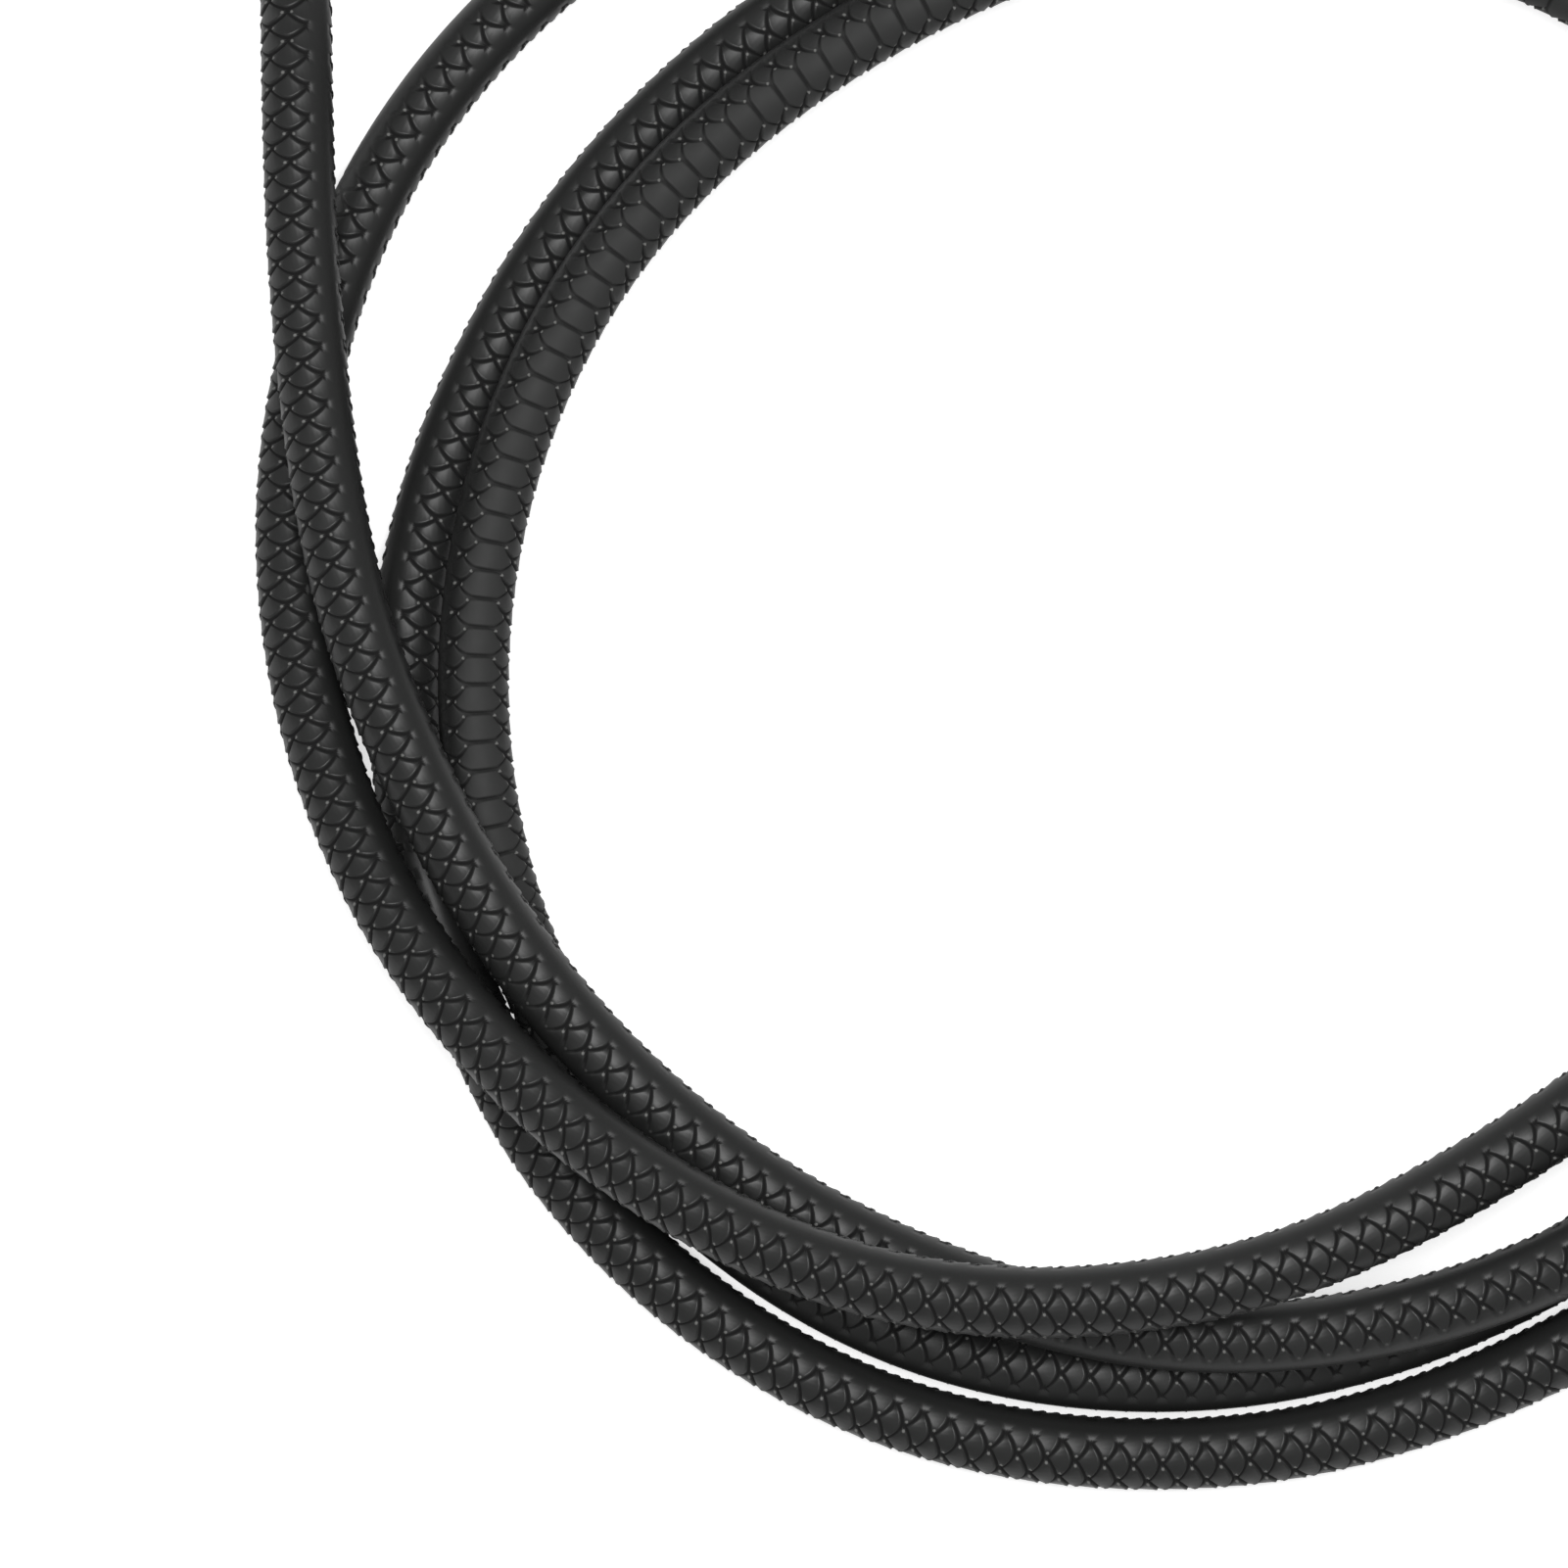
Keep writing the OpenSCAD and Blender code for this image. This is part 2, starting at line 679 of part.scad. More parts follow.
module a_tongue() {
    color([0.08, 0.08, 0.08])
        at_a()
            difference() {
                union() {
                    along(a_shell_y, a_block_l)
                        rounded(a_block_w, a_block_h, a_shell_r - a_sheet);
                    block(
                        0, a_shell_y, -a_block_h / 2,
                        [a_block_w - 2 * (a_shell_r - a_sheet), a_tongue_front - a_shell_y, a_tongue_t]
                    );
                }
                for (place = a_contact_places)
                    block(
                        place.x, a_shell_y - overlap, a_contact_top - a_contact_t,
                        [
                            a_contact_w + 2 * a_contact_fit,
                            a_tongue_front - place.y + a_contact_fit - a_shell_y + overlap,
                            a_contact_t + a_contact_fit
                        ]
                    );
            }
}

module a_contacts() {
    color([0.85, 0.68, 0.3])
        at_a()
            for (place = a_contact_places)
                block(
                    place.x, a_shell_y - a_tail_l, a_contact_top - a_contact_t,
                    [a_contact_w, a_tongue_front - place.y - a_shell_y + a_tail_l, a_contact_t]
                );
}

module c_strain_relief() {
    color([0.1, 0.1, 0.105])
        at_c()
            relief(c_relief_l, c_relief_d);
}

module c_housing() {
    color([0.12, 0.12, 0.125])
        at_c()
            difference() {
                housing_form(c_housing_w, c_housing_h, c_back_y, c_housing_l, c_edge_r, c_corner_r);
                relief_socket(c_back_y);
                bar(c_crimp_y - overlap, c_crimp_l + c_sheet + overlap, c_crimp_d + 2 * c_pocket_fit);
                along(c_can_y, c_can_l)
                    rounded(c_can_w + 2 * c_pocket_fit, c_can_h + 2 * c_pocket_fit, c_can_r);
                along(c_shell_y - overlap, c_shell_in + 2 * overlap)
                    oblong(c_shell_w + 2 * c_pocket_fit, c_shell_h + 2 * c_pocket_fit);
            }
}

// Rounded bar outline whose ends are half circles
module oblong(w, h) {
    square([w - h, h], center = true);
    for (x = [-1, 1])
        translate([x * (w - h) / 2, 0])
            circle(h / 2);
}

// Can round the circuit board, with a ring that is crimped round the jacket
module c_shield_can() {
    color([0.72, 0.73, 0.75])
        at_c()
            difference() {
                union() {
                    bar(c_crimp_y, c_crimp_l + c_sheet / 2, c_crimp_d);
                    along(c_can_y, c_can_l)
                        rounded(c_can_w, c_can_h, c_can_r);
                }
                bar(c_crimp_y - overlap, c_crimp_l + overlap, jacket_d + 2 * jacket_fit);
                bar(c_crimp_y, c_crimp_l + overlap, wire_hole_d);
                along(c_can_y + c_sheet, c_can_l - 2 * c_sheet)
                    rounded(c_can_w - 2 * c_sheet, c_can_h - 2 * c_sheet, c_can_r - c_sheet);
                along(c_shell_y - c_sheet - overlap, c_sheet + 2 * overlap)
                    oblong(c_inner_w, c_inner_h);
            }
}

module c_board() {
    color([0.06, 0.3, 0.16])
        at_c()
            block(0, c_board_y, -c_board_t / 2, [c_board_w, c_board_l, c_board_t]);
}

module c_resistor() {
    color([0.06, 0.06, 0.07])
        at_c()
            block(
                (c_inner_x + c_outer_x) / 2, c_wire_end_y + resistor_gap, c_board_t / 2,
                [resistor_l, resistor_w, resistor_h]
            );
}

module c_shell() {
    color([0.78, 0.79, 0.8])
        at_c()
            difference() {
                along(c_shell_y, c_shell_in + c_shell_out)
                    oblong(c_shell_w, c_shell_h);
                along(c_shell_y - overlap, c_shell_in + c_shell_out + 2 * overlap)
                    oblong(c_inner_w, c_inner_h);
            }
}

// Distance from the middle of the plug to a numbered contact
function pin_x(pin) = (pin - (c_row_pins + 1) / 2) * c_pitch;

// Row of contacts: side is 1 for the upper row and -1 for the lower row.
// room is the clearance round each contact, 0 for the contact itself.
module c_contact_row(pins, side, room) {
    for (pin = pins)
        block(
            side * pin_x(pin), c_shell_y - c_tail_l,
            side > 0 ? c_contact_z - room : -c_contact_z - c_contact_t - room,
            [
                c_contact_w + 2 * room,
                c_block_front - c_contact_back - c_shell_y + c_tail_l + room,
                c_contact_t + 2 * room
            ]
        );
}

module c_insulator() {
    color([0.08, 0.08, 0.08])
        at_c()
            difference() {
                along(c_shell_y, c_block_front - c_shell_y)
                    oblong(c_block_w, c_block_h);
                block(0, c_slot_y, -c_slot_h / 2, [c_slot_w, c_slot_l + overlap, c_slot_h]);
                c_contact_row(c_upper_pins, 1, c_contact_fit);
                c_contact_row(c_lower_pins, -1, c_contact_fit);
                c_latch_form(c_contact_fit);
                for (side = [-1, 1])
                    c_spring_form(side, c_contact_fit);
            }
}

module c_upper_contacts() {
    color([0.85, 0.68, 0.3])
        at_c()
            c_contact_row(c_upper_pins, 1, 0);
}

module c_lower_contacts() {
    color([0.85, 0.68, 0.3])
        at_c()
            c_contact_row(c_lower_pins, -1, 0);
}

// Middle plate with a sprung arm and nose on each side of the slot
module c_latch_form(room) {
    plate_w = 2 * (c_arm_x + c_latch_t);
    block(
        0, c_arm_y - room, -c_latch_t / 2 - room,
        [plate_w + 2 * room, c_plate_l + 2 * room, c_latch_t + 2 * room]
    );
    for (side = [-1, 1]) {
        block(
            side * (c_arm_x + c_latch_t / 2), c_arm_y - room, -c_latch_h / 2 - room,
            [c_latch_t + 2 * room, c_arm_l + 2 * room, c_latch_h + 2 * room]
        );
        block(
            side * (c_arm_x - c_nose / 2), c_arm_y + c_arm_l - c_nose_l - room, -c_latch_h / 2 - room,
            [c_nose + 2 * room, c_nose_l + 2 * room, c_latch_h + 2 * room]
        );
    }
}

module c_latch() {
    color([0.7, 0.71, 0.72])
        at_c()
            c_latch_form(0);
}

module c_spring_form(side, room) {
    block(
        0, c_block_front - c_spring_back - c_spring_l - room,
        side > 0 ? c_block_h / 2 - c_spring_t - room : -c_block_h / 2 - room,
        [c_spring_w + 2 * room, c_spring_l + 2 * room, c_spring_t + 2 * room]
    );
}

module c_ground_springs() {
    color([0.7, 0.71, 0.72])
        at_c()
            for (side = [-1, 1])
                c_spring_form(side, 0);
}

jacket_coil();
jacket_tail_a();
jacket_tail_c();
power_wire();
ground_wire();
data_plus_wire();
data_minus_wire();
a_strain_relief();
a_housing();
a_rear_shield();
a_inner_cover();
a_shell();
a_tongue();
a_contacts();
c_strain_relief();
c_housing();
c_shield_can();
c_board();
c_resistor();
c_shell();
c_insulator();
c_upper_contacts();
c_lower_contacts();
c_latch();
c_ground_springs();
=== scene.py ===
# Charging cable: the looks of a hand-wound coil of moulded cord, its two plugs and its metal.
# Shapes are worked out in millimetres in the row frame and written to the meshes in metres.
import math

import bpy
import numpy as np
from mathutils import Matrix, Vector


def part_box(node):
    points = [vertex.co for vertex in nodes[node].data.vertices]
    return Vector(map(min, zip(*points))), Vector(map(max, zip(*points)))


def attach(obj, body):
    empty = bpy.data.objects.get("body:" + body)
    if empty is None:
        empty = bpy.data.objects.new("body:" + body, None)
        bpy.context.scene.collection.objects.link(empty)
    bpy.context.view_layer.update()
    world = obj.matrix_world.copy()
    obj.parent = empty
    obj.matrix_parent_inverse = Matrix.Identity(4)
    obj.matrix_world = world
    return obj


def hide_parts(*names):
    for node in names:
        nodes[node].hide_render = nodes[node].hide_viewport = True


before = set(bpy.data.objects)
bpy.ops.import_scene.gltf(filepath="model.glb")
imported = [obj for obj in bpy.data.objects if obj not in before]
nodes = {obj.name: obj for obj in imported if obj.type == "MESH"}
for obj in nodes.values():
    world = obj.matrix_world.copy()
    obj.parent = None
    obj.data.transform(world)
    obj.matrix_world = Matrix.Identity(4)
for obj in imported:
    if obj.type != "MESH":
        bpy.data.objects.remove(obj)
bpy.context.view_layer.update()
MM = 0.001

# ---------------------------------------------------------------- photograph's framing
PHOTO_PX = 1601                  # width and height of the photograph
JACKET_PX = 71.75                # width of the cord in it
COIL_CENTRE_PX = (1250, 700)     # where the coil's middle lies in it
CAMERA_HEIGHT = 2500             # above the floor
SENSOR = 36                      # width of the camera's sensor
CAMERA_CLIP = (0.05, 20)         # nearest and furthest that it sees, in metres

# ---------------------------------------------------------------- cord's route
# These repeat the CAD source: seen from above with the coil's middle at x = y = 0.
JACKET_D = 4.1
FLOOR_Z = JACKET_D / 2
COIL_START = 150                 # degrees
GUIDE_STEP = 30
# At each guide, from the one before the coil's start
COIL_RADIUS = [
    88.5,
    62.3, 49, 42.1, 38.5, 37.9, 38.5, 41.2, 45, 48.5, 51, 53, 56.2,
    57.4, 53.6, 46.6, 40, 34.6, 31.7, 33.4, 37.4, 41.8, 45.3, 44.8, 43.5,
    43.8, 43.8, 43.4, 42.1, 40.1, 39, 40.1, 42.6, 46, 48.6, 48.8, 46.9,
    46.8, 47.9, 48.1, 47, 44.8, 43.7, 46, 52,
]
COIL_HEIGHT = [
    6.4,
    7.2, 8.05, 7.25, 5.4, 6.3, 6.8, 6.8, 6.7, 6.7, 6.4, 5.2, 3.2,
    2.1, 4.65, 8.5, 10.45, 10.5, 7.5, 4.3, 2.9, 4.4, 5.4, 5.3, 5.3,
    5.65, 4.6, 2.35, 2, 2, 2, 2, 2, 2, 2, 2, 2,
    2, 2, 2, 2, 2, 2, 2, 2,
]
ROUTE_STEP = 5                   # degrees between the coil's points
# How the loops settle against each other: by coil angle, millimetres further from the middle
SETTLE = [
    (160, 0), (176, 0.33), (190, 0.33), (203, 0.17), (225, 0.1), (250, 0), (285, 0.12),
    (300, 0.3), (312, 0.15), (325, 0),
    (532, 0), (543, -0.08), (549, -0.05), (557, 0.12), (567, 0.12), (580, 0), (597, 0.2),
    (620, 0), (645, 0), (665, 0.12), (690, 0.12), (705, 0),
    (895, 0), (923, 0.15), (945, 0.25), (960, 0.2), (985, 0.05), (1000, -0.1), (1045, -0.1),
    (1060, 0),
    (1262, 0), (1274, -0.25), (1285, -0.28), (1293, -0.07), (1300, -0.05), (1340, -0.14),
    (1375, -0.22), (1400, -0.22), (1420, 0),
]
A_MOUTH = np.array([-54.2, 52, 4])
C_MOUTH = np.array([54, 17, 3])
A_TAIL = [
    A_MOUTH + [0, 17, 0], A_MOUTH + [0, 14, 0], A_MOUTH, A_MOUTH - [0, JACKET_D, 0],
    [-54.2, 43.5, 4.9], [-54.1, 39, 6.2],
]
C_TAIL = [
    [47, -13.6, FLOOR_Z], [50.6, -6.2, FLOOR_Z], [52.9, 1.5, FLOOR_Z], [53.8, 8, 2.6],
    C_MOUTH - [0, JACKET_D, 0], C_MOUTH, C_MOUTH + [0, 13, 0], C_MOUTH + [0, 15.5, 0],
]
LINE_STEP = 0.5                  # between the samples of the finished centre line
LINE_BLUR = 1.5                  # rounds off the joints between the route's curves

# Where the smooth band lies, in degrees from the top towards the coil's inside, by coil angle
BAND_TURN = [
    (150, 47), (300, 47), (490, 43), (510, 43), (540, 50), (690, 50), (800, -168), (905, -171),
    (920, -160), (950, -66), (990, -64), (1010, -56), (1200, -54), (1236, -54), (1250, -49),
    (1258, -35), (1288, 45), (1410, 45),
]
# Where the relief is faint: the coil angles at its ends, the side of the band that it is on,
# and the columns at which the relief is still full and quite gone
FAINT = [(198, 305, -1, 2.5, 2.85), (485, 516, -1, 2.3, 2.6), (820, 912, 1, 3.65, 3.4)]
FAINT_RAMP = 8                   # degrees of the coil over which it sets in

# ---------------------------------------------------------------- scale pattern
# A place round the cord is counted in columns of scales, 0 in the middle of the smooth band.
PITCH = 1.674                    # along the cord from one scale to the next
COLUMN_TURN = (0, 30, 61.5, 97, 133, 159)    # degrees from the band's middle to each column
COLUMN_MM = 1.2                  # between columns, about
LAST_COLUMN = len(COLUMN_TURN) - 1
BACK_SAMPLES = (0.25, 0.5)       # past the last column; the second lies opposite the band
COLUMN_SAMPLES = (0, 0.26, 0.5, 0.74)    # of a ring's points in each column
BAND_SAMPLES = (-0.74, -0.37, 0, 0.37, 0.74)
BAND_HALF = 1                    # half the smooth band
RELIEF_FROM = (0.8, 1)           # columns between which the relief begins beside the band
TURN_BLUR = 2 * PITCH            # rounds off the band's turns
ARC_DROP = 0.37                  # how far a scale's edge falls back by the next column, in pitches
ARC_POWER = 1.6
BACK_MERGE = (4.2, 4.9)          # columns between which the edges opposite the band run together
BACK_DROP = 0.48                 # the fall where they have
LIP = 0.085                      # from a groove to the crest of its lip, in pitches
LIP_SHARE = 0.3                  # most that a lip takes of the way to the next groove
RIM = 1.6                        # from a groove to the face within its lip, in lips
WIDE_GAP = (0.12, 0.3)           # pitches between two grooves over which a face rises to its height
PIP_GAP = 0.31                   # pitches between them where a pip is raised
PIP_GAP_SPREAD = 0.06            # over which that fades
R_BAND = 2.075                   # radius of the band and of the plain ends
R_GROOVE = 1.9
R_NECK = 1.89                    # between two grooves that nearly meet
R_HEAD = 2.03                    # of a scale, from the groove at its head to the lip at its foot
R_CROWN = 2.04
R_FACE = 2.085
R_LIP = 2.12
PATTERN_INSIDE = 2 * PITCH       # how far the pattern runs into each strain relief
FADE_L = 1.5                     # pitches over which the relief sets in at its two ends
PLAIN_STEP = 2.0                 # between the rings of the cord beyond the pattern
PLAIN_GAP = 0.5                  # least from the last of them to the pattern
BAKE_STRIPS = 9                  # strips of the unrolled skin in the map named OFBake
BAKE_GAP = 0.01                  # left free round each strip
CAP_STRIP = 0.2                  # height left for the two ends, in strips


def blend_value(low, high, x):
    """0 at low, 1 at high, smooth between and level beyond."""
    t = np.clip((x - low) / (high - low), 0, 1)
    return t * t * (3 - 2 * t)


def cubic(t, start, end, leaving, arriving):
    """Curve from start at t = 0 to end at t = 1 with the given slopes there."""
    return (
        (2 * t ** 3 - 3 * t ** 2 + 1) * start + (t ** 3 - 2 * t ** 2 + t) * leaving
        + (3 * t ** 2 - 2 * t ** 3) * end + (t ** 3 - t ** 2) * arriving
    )


def guided(values, turn):
    """Cubic through evenly spaced values, as in the CAD source."""
    i = min(int(turn), len(values) - 4)
    a, b, c, d = values[i:i + 4]
    return cubic(turn - i, b, c, (c - a) / 2, (d - b) / 2)


def coil_at(angle):
    turn = (angle - COIL_START) / GUIDE_STEP
    r = guided(COIL_RADIUS, turn) + np.interp(angle, *zip(*SETTLE))
    a = math.radians(angle)
    z = max(FLOOR_Z, guided(COIL_HEIGHT, turn))
    return np.array([r * math.cos(a), r * math.sin(a), z])


def unit(v):
    return v / np.linalg.norm(v, axis=-1, keepdims=True)


def frame_shift():
    """From the coil's own middle to the row frame, read from the plug's strain relief."""
    low, high = (np.array(p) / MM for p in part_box("a_strain_relief"))
    return np.array([(low[0] + high[0]) / 2 - A_MOUTH[0], low[1] - A_MOUTH[1], 0])


def route_points():
    """The route's points, and the coil angle at each."""
    end = COIL_START + GUIDE_STEP * (len(COIL_RADIUS) - 3)
    angles = list(range(COIL_START, end + 1, ROUTE_STEP))
    coil = [coil_at(a) for a in angles]
    lead_in = coil[0] - JACKET_D * unit(coil_at(COIL_START + 1) - coil[0])
    lead_out = coil[-1] + JACKET_D * unit(coil[-1] - coil_at(end - 1))
    points = np.array([*A_TAIL, lead_in, *coil, lead_out, *C_TAIL], float)
    around = [COIL_START] * (len(A_TAIL) + 1) + angles + [end] * (len(C_TAIL) + 1)
    return points, np.array(around, float)


def curve_through(points, places, at):
    """Smooth curve through points that lie at rising places, sampled at the given ones."""
    h = np.diff(places)[:, None]
    slope = np.diff(points, axis=0) / h
    inner = (slope[:-1] * h[1:] + slope[1:] * h[:-1]) / (h[:-1] + h[1:])
    tangent = np.vstack([slope[:1], inner, slope[-1:]])
    i = np.clip(np.searchsorted(places, at, side="right") - 1, 0, len(h) - 1)
    t = ((at - places[i]) / h[i, 0])[:, None]
    return cubic(t, points[i], points[i + 1], h[i] * tangent[i], h[i] * tangent[i + 1])


def lengths_along(points):
    return np.concatenate([[0], np.cumsum(np.linalg.norm(np.diff(points, axis=0), axis=1))])


def blurred(values, sigma):
    """Gaussian mean over neighbours; both ends run on straight, so that they stay in place."""
    reach = int(4 * sigma)
    weight = np.exp(-0.5 * (np.arange(-reach, reach + 1) / sigma) ** 2)
    weight /= weight.sum()
    before = 2 * values[0] - values[reach:0:-1]
    after = 2 * values[-1] - values[-2:-reach - 2:-1]
    long = np.concatenate([before, values, after])
    return np.stack([np.convolve(c, weight, "valid") for c in long.reshape(len(long), -1).T], 1)


def turn_of(u):
    """Degrees from the band's middle to a place counted in columns."""
    places = [*range(LAST_COLUMN + 1), LAST_COLUMN + BACK_SAMPLES[1]]
    return np.sign(u) * np.interp(np.abs(u), places, [*COLUMN_TURN, 180])


class CentreLine:
    """The cord's centre line: a point, the outward side and the way up at any length along it."""

    def __init__(self):
        points, around = route_points()
        places = lengths_along(points)
        at = np.linspace(0, places[-1], int(places[-1] / LINE_STEP))
        line = blurred(curve_through(points, places, at), LINE_BLUR / LINE_STEP)
        line[:, 2] = np.maximum(line[:, 2], R_LIP)
        self.points = line + frame_shift()
        self.s = lengths_along(line)
        self.length = self.s[-1]
        self.around = np.interp(at, places, around)
        tangent = unit(np.gradient(line, self.s, axis=0))
        self.side = unit(np.cross(tangent, [0, 0, 1]))
        self.up = np.cross(self.side, tangent)
        turn = np.interp(self.around, *zip(*BAND_TURN))
        self.turn = blurred(turn, TURN_BLUR / LINE_STEP)[:, 0]

    def at(self, s, values):
        if values.ndim == 1:
            return np.interp(s, self.s, values)
        return np.stack([np.interp(s, self.s, c) for c in values.T], -1)

    def surface(self, s, u, radius):
        """Points on the cord's surface at lengths s and columns u."""
        angle = np.radians(self.at(s, self.turn) + turn_of(u))
        out = np.cos(angle)[..., None] * self.at(s, self.up)
        out = out - np.sin(angle)[..., None] * self.at(s, self.side)
        return self.at(s, self.points) + radius[..., None] * out

    def start_of(self, place):
        """Length at which the line first comes nearest to a place of the route."""
        return self.s[np.argmin(np.linalg.norm(self.points - place - frame_shift(), axis=1))]


def mesh_object(name, points, faces):
    """Smooth mesh object from points in millimetres, riding on the one CAD body."""
    mesh = bpy.data.meshes.new(name)
    mesh.from_pydata((np.asarray(points) * MM).tolist(), [], [list(map(int, f)) for f in faces])
    mesh.validate()
    mesh.polygons.foreach_set("use_smooth", [True] * len(mesh.polygons))
    mesh.update()
    piece = bpy.data.objects.new(name, mesh)
    bpy.context.scene.collection.objects.link(piece)
    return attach(piece, "root")


def tube_faces(rows, count):
    """Quads between neighbouring closed rows of count points, wound outwards."""
    i = np.arange(rows - 1)[:, None] * count
    k = np.arange(count)[None, :]
    m = (k + 1) % count
    return np.stack([i + k, i + k + count, i + m + count, i + m], -1).reshape(-1, 4)


def jacket_columns():
    """Places round the cord of the points of each of its rings."""
    side = [c + o for c in range(BAND_HALF, LAST_COLUMN) for o in COLUMN_SAMPLES]
    side += [LAST_COLUMN, LAST_COLUMN + BACK_SAMPLES[0]]
    back = LAST_COLUMN + BACK_SAMPLES[1]
    return np.array([-back, *[-u for u in side[::-1]], *BAND_SAMPLES, *side])


def to_own_column(u, odd):
    """Distance from u to the nearest even column, or the nearest odd one."""
    return np.abs((u + odd + 1) % 2 - 1)


def jacket_rows(v_count, u, fade):
    """Rows of the pattern: their place along the cord in pitches, and their radius."""
    j = np.arange(2 * v_count + 1)
    u = np.minimum(np.abs(u), LAST_COLUMN)
    steep = ARC_DROP + (BACK_DROP - ARC_DROP) * blend_value(*BACK_MERGE, u)
    drop = steep * np.stack([to_own_column(u, k % 2) for k in j]) ** ARC_POWER
    arcs = j[:, None] / 2 - fade(j / 2)[:, None] * drop
    gap = np.diff(arcs, axis=0)
    lip = np.minimum(LIP, LIP_SHARE * gap)
    place = np.stack([
        arcs[:-1], arcs[:-1] + lip, arcs[:-1] + RIM * lip, arcs[1:] - RIM * lip, arcs[1:] - lip,
    ], 1)
    depth = fade(j / 2)[:-1, None] * blend_value(*RELIEF_FROM, u)
    wide = blend_value(*WIDE_GAP, gap)
    raised = np.maximum(wide, np.exp(-((gap - PIP_GAP) / PIP_GAP_SPREAD) ** 2))
    face = np.stack([
        np.full_like(gap, R_GROOVE),
        R_NECK + (R_HEAD - R_NECK) * wide,
        R_NECK + (R_CROWN - R_NECK) * raised,
        R_NECK + (R_FACE - R_NECK) * raised,
        R_NECK + (R_LIP - R_NECK) * wide,
    ], 1)
    radius = R_BAND + (face - R_BAND) * depth[:, None, :]
    count = len(u)
    place = np.vstack([place.reshape(-1, count), arcs[-1:]])
    radius = np.vstack([radius.reshape(-1, count), np.full((1, count), R_BAND)])
    return place, radius


def faintness(line, s, u):
    """1 where the relief has faded away, 0 where it is full."""
    around = line.at(s, line.around)
    total = np.zeros_like(s)
    for low, high, side, full, gone in FAINT:
        sets_in = blend_value(low, low + FAINT_RAMP, around)
        ends = blend_value(high, high - FAINT_RAMP, around)
        total += sets_in * ends * blend_value(full, gone, side * u) * (side * u > 0)
    return total


def make_jacket(line):
    u = jacket_columns()
    start = line.start_of(A_MOUTH) - PATTERN_INSIDE
    end = line.start_of(C_MOUTH) + PATTERN_INSIDE
    v_count = int((end - start) / PITCH)

    def fade(v):
        return blend_value(0, FADE_L, v) * blend_value(0, FADE_L, v_count - v)

    place, radius = jacket_rows(v_count, u, fade)
    before = np.arange(0, start - PLAIN_GAP, PLAIN_STEP)
    after = np.arange(line.length, start + v_count * PITCH + PLAIN_GAP, -PLAIN_STEP)[::-1]
    s = np.vstack([
        np.tile(before[:, None], len(u)), start + place * PITCH, np.tile(after[:, None], len(u)),
    ])
    radius = np.pad(radius, ((len(before), len(after)), (0, 0)), constant_values=R_BAND)
    rows, count = s.shape
    faint = faintness(line, s, u)
    radius += (R_BAND - radius) * faint
    points = line.surface(s, np.broadcast_to(u, s.shape), radius).reshape(-1, 3)
    faces = tube_faces(rows, count)
    caps = [list(range(count)), list(range((rows - 1) * count, rows * count))[::-1]]
    piece = mesh_object("charging_cord", points, [*faces.tolist(), *caps])
    add_pattern_maps(piece.data, (s - start) / PITCH, u, faint)
    add_bake_map(piece.data, s, u)
    return piece


def add_pattern_maps(mesh, v, u, faint):
    """UV maps: "pattern" counts the columns from the band and the pitches along the cord, and
    "relief" has the share of the relief that is left."""
    corner = np.zeros(len(mesh.loops), np.int32)
    mesh.loops.foreach_get("vertex_index", corner)
    around = np.minimum(np.abs(u), LAST_COLUMN)[corner % len(u)]
    share = 1 - faint.ravel()[corner]
    for name, x, y in (("pattern", around, v.ravel()[corner]), ("relief", share, share)):
        layer = mesh.uv_layers.new(name=name)
        layer.uv.foreach_set("vector", np.stack([x, y], 1).astype(np.float32).ravel())


def add_bake_map(mesh, s, u):
    """UV map in which the cord's skin lies unrolled in strips, one above another, at one scale."""
    first = s.mean(axis=1)[:-1] - s[0, 0]
    strip_l = (s.max() - s.min()) / BAKE_STRIPS
    strip = np.minimum(first // strip_l, BAKE_STRIPS - 1)
    s = np.hstack([s, s[:, :1]])
    x = np.stack([s[:-1, :-1], s[1:, :-1], s[1:, 1:], s[:-1, 1:]], -1) - s[0, 0]
    x = BAKE_GAP + (1 - 2 * BAKE_GAP) * (x / strip_l - strip[:, None, None])
    part = np.append((turn_of(u) + 180) / 360, 1)
    part = BAKE_GAP + (1 - 2 * BAKE_GAP) * np.stack([part[:-1], part[:-1], part[1:], part[1:]], -1)
    y = (strip[:, None, None] + part[None]) / (BAKE_STRIPS + CAP_STRIP)
    walls = np.stack([x, y], -1).reshape(-1, 2)
    # The two ends are discs, side by side in what is left above the strips
    turn = np.linspace(0, 2 * np.pi, len(u), endpoint=False)
    disc = CAP_STRIP / BAKE_STRIPS / 4 * np.stack([np.cos(turn), np.sin(turn)], 1)
    middle = 1 - CAP_STRIP / BAKE_STRIPS / 2
    caps = [disc + [place, middle] for place in (0.25, 0.75)]
    layer = mesh.uv_layers.new(name="OFBake")
    layer.uv.foreach_set("vector", np.vstack([walls, *caps]).astype(np.float32).ravel())


# ---------------------------------------------------------------- plugs
class Plug:
    """Sizes of a plug's two mouldings.

    It is drawn along +Y, with y = 0 where the cord enters its strain relief, as in the CAD
    source. relief_d is the relief's diameter at the housing, and the housing lies between back
    and front. edge_r rounds its cross-section, corner_r its four corners seen from above, and
    the fillets its ends seen from the side. The pocket for the shell has a width, a height and
    a corner radius, and so has each ring of the hole behind it, after its y.
    """

    def __init__(self, letter, mouth, **sizes):
        self.letter = letter
        self.mouth = mouth
        self.__dict__.update(sizes)


